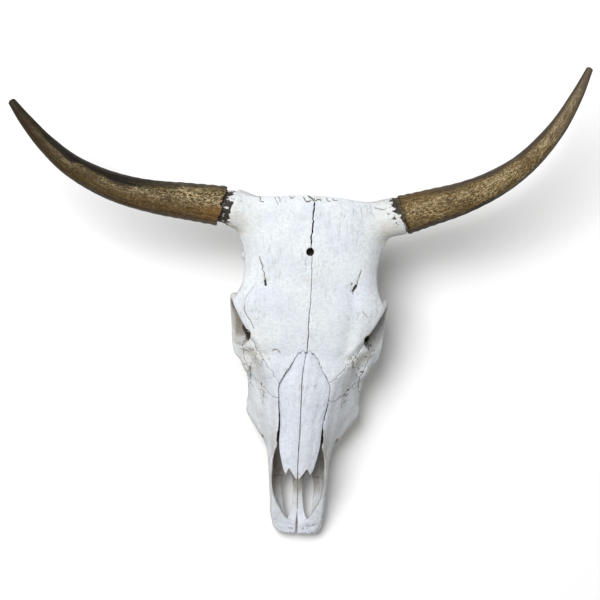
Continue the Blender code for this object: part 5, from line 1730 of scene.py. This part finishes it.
def make_floor(stage):
    """A wide pale floor at height 0."""
    material = bpy.data.materials.new("pale_floor")
    material.use_nodes = True
    shader = material.node_tree.nodes["Principled BSDF"]
    shader.inputs["Base Color"].default_value = (*stage.floor, 1)
    shader.inputs["Roughness"].default_value = FLOOR_ROUGHNESS
    mesh = bpy.data.meshes.new("floor")
    far = FLOOR_REACH
    mesh.from_pydata([(-far, -far, 0), (far, -far, 0), (far, far, 0), (-far, far, 0)], [], [(0, 1, 2, 3)])
    mesh.materials.append(material)
    placed("floor", mesh)


def make_lights(scene, stage):
    """A large soft light aimed at the origin, and an even light all round that the camera sees as white."""
    lamp = bpy.data.lights.new("soft_light", "AREA")
    lamp.shape = "DISK"
    lamp.size = LIGHT_SIZE
    lamp.energy = stage.light
    light = placed("soft_light", lamp)
    light.location = LIGHT_AT
    light.rotation_euler = (-Vector(LIGHT_AT)).to_track_quat("-Z", "Y").to_euler()
    world = bpy.data.worlds.new("even_light")
    world.use_nodes = True
    net = Net(world.node_tree)
    nodes = world.node_tree.nodes
    nodes["Background"].inputs["Strength"].default_value = stage.sky
    nodes["Background"].inputs["Color"].default_value = (1, 1, 1, 1)
    seen = net.node("ShaderNodeBackground", {"Color": (1, 1, 1, 1), "Strength": 1.0})[0]
    view_ray = net.node("ShaderNodeLightPath")["Is Camera Ray"]
    inputs = {0: view_ray, 1: nodes["Background"].outputs[0], 2: seen}
    net.give(nodes["World Output"].inputs["Surface"], net.node("ShaderNodeMixShader", inputs)[0])
    scene.world = world


def make_camera(scene, stage):
    """A camera that looks straight down."""
    camera = bpy.data.cameras.new("camera")
    camera.lens = stage.lens
    camera.sensor_width = SENSOR_WIDTH
    view = placed("camera", camera)
    view.location = (CAMERA_X, 0.0, stage.height)
    view.rotation_euler = (0, 0, math.radians(CAMERA_TURN))
    scene.camera = view


class SKULL_OT_finishes(bpy.types.Operator):
    """Build the node group and the finishes of bone, horn and tooth"""

    bl_idname = "skull.finishes"
    bl_label = "Finishes"

    def execute(self, context):
        mottle = mottle_group()
        colors = context.scene.skull_colors
        bone_material(colors, mottle)
        horn_material(colors, mottle)
        tooth_material(colors, mottle)
        return {"FINISHED"}


class SKULL_OT_bones(bpy.types.Operator):
    """Join the named forms of the skull and part them into bones along their sutures"""

    bl_idname = "skull.bones"
    bl_label = "Bones"

    def execute(self, context):
        sizes = context.scene.skull_sizes
        make_bones(sizes.pitch / MM, sizes.gap / MM, bpy.data.materials["dry_bone"])
        return {"FINISHED"}


class SKULL_OT_nasal_bones(bpy.types.Operator):
    """Make the two nasal bones"""

    bl_idname = "skull.nasal_bones"
    bl_label = "Nasal bones"

    def execute(self, context):
        make_nasals(bpy.data.materials["dry_bone"])
        return {"FINISHED"}


class SKULL_OT_teeth(bpy.types.Operator):
    """Make the two rows of cheek teeth"""

    bl_idname = "skull.teeth"
    bl_label = "Cheek teeth"

    def execute(self, context):
        make_teeth(bpy.data.materials["tooth_enamel"])
        return {"FINISHED"}


class SKULL_OT_horns(bpy.types.Operator):
    """Make the two horns"""

    bl_idname = "skull.horns"
    bl_label = "Horns"

    def execute(self, context):
        make_horns(bpy.data.materials["old_horn"])
        return {"FINISHED"}


class SKULL_OT_stage(bpy.types.Operator):
    """Lay the floor, and set up the lights and the camera"""

    bl_idname = "skull.stage"
    bl_label = "Stage"

    def execute(self, context):
        scene = context.scene
        stage = scene.skull_stage
        make_floor(stage)
        make_lights(scene, stage)
        make_camera(scene, stage)
        scene.view_settings.view_transform = "Standard"
        return {"FINISHED"}


STEPS = (
    SKULL_OT_finishes, SKULL_OT_bones, SKULL_OT_nasal_bones, SKULL_OT_teeth, SKULL_OT_horns, SKULL_OT_stage,
)


class SKULL_PT_panel(bpy.types.Panel):
    """Settings and steps of the skull"""

    bl_idname = "SKULL_PT_panel"
    bl_label = "Cow skull"
    bl_space_type = "VIEW_3D"
    bl_region_type = "UI"
    bl_category = "Skull"

    def draw(self, context):
        for settings in (context.scene.skull_sizes, context.scene.skull_colors, context.scene.skull_stage):
            box = self.layout.box()
            for key in settings.__annotations__:
                box.prop(settings, key)
        for kind in STEPS:
            self.layout.operator(kind.bl_idname)


CLASSES = (SkullSizes, SkullColors, SkullStage, *STEPS, SKULL_PT_panel)


def register():
    for kind in CLASSES:
        bpy.utils.register_class(kind)
    bpy.types.Scene.skull_sizes = PointerProperty(type=SkullSizes)
    bpy.types.Scene.skull_colors = PointerProperty(type=SkullColors)
    bpy.types.Scene.skull_stage = PointerProperty(type=SkullStage)


def unregister():
    del bpy.types.Scene.skull_stage
    del bpy.types.Scene.skull_colors
    del bpy.types.Scene.skull_sizes
    for kind in reversed(CLASSES):
        bpy.utils.unregister_class(kind)


def main():
    """Register the classes and run each step in order."""
    register()
    bpy.ops.skull.finishes()
    bpy.ops.skull.bones()
    bpy.ops.skull.nasal_bones()
    bpy.ops.skull.teeth()
    bpy.ops.skull.horns()
    bpy.ops.skull.stage()


if __name__ == "__main__":
    main()
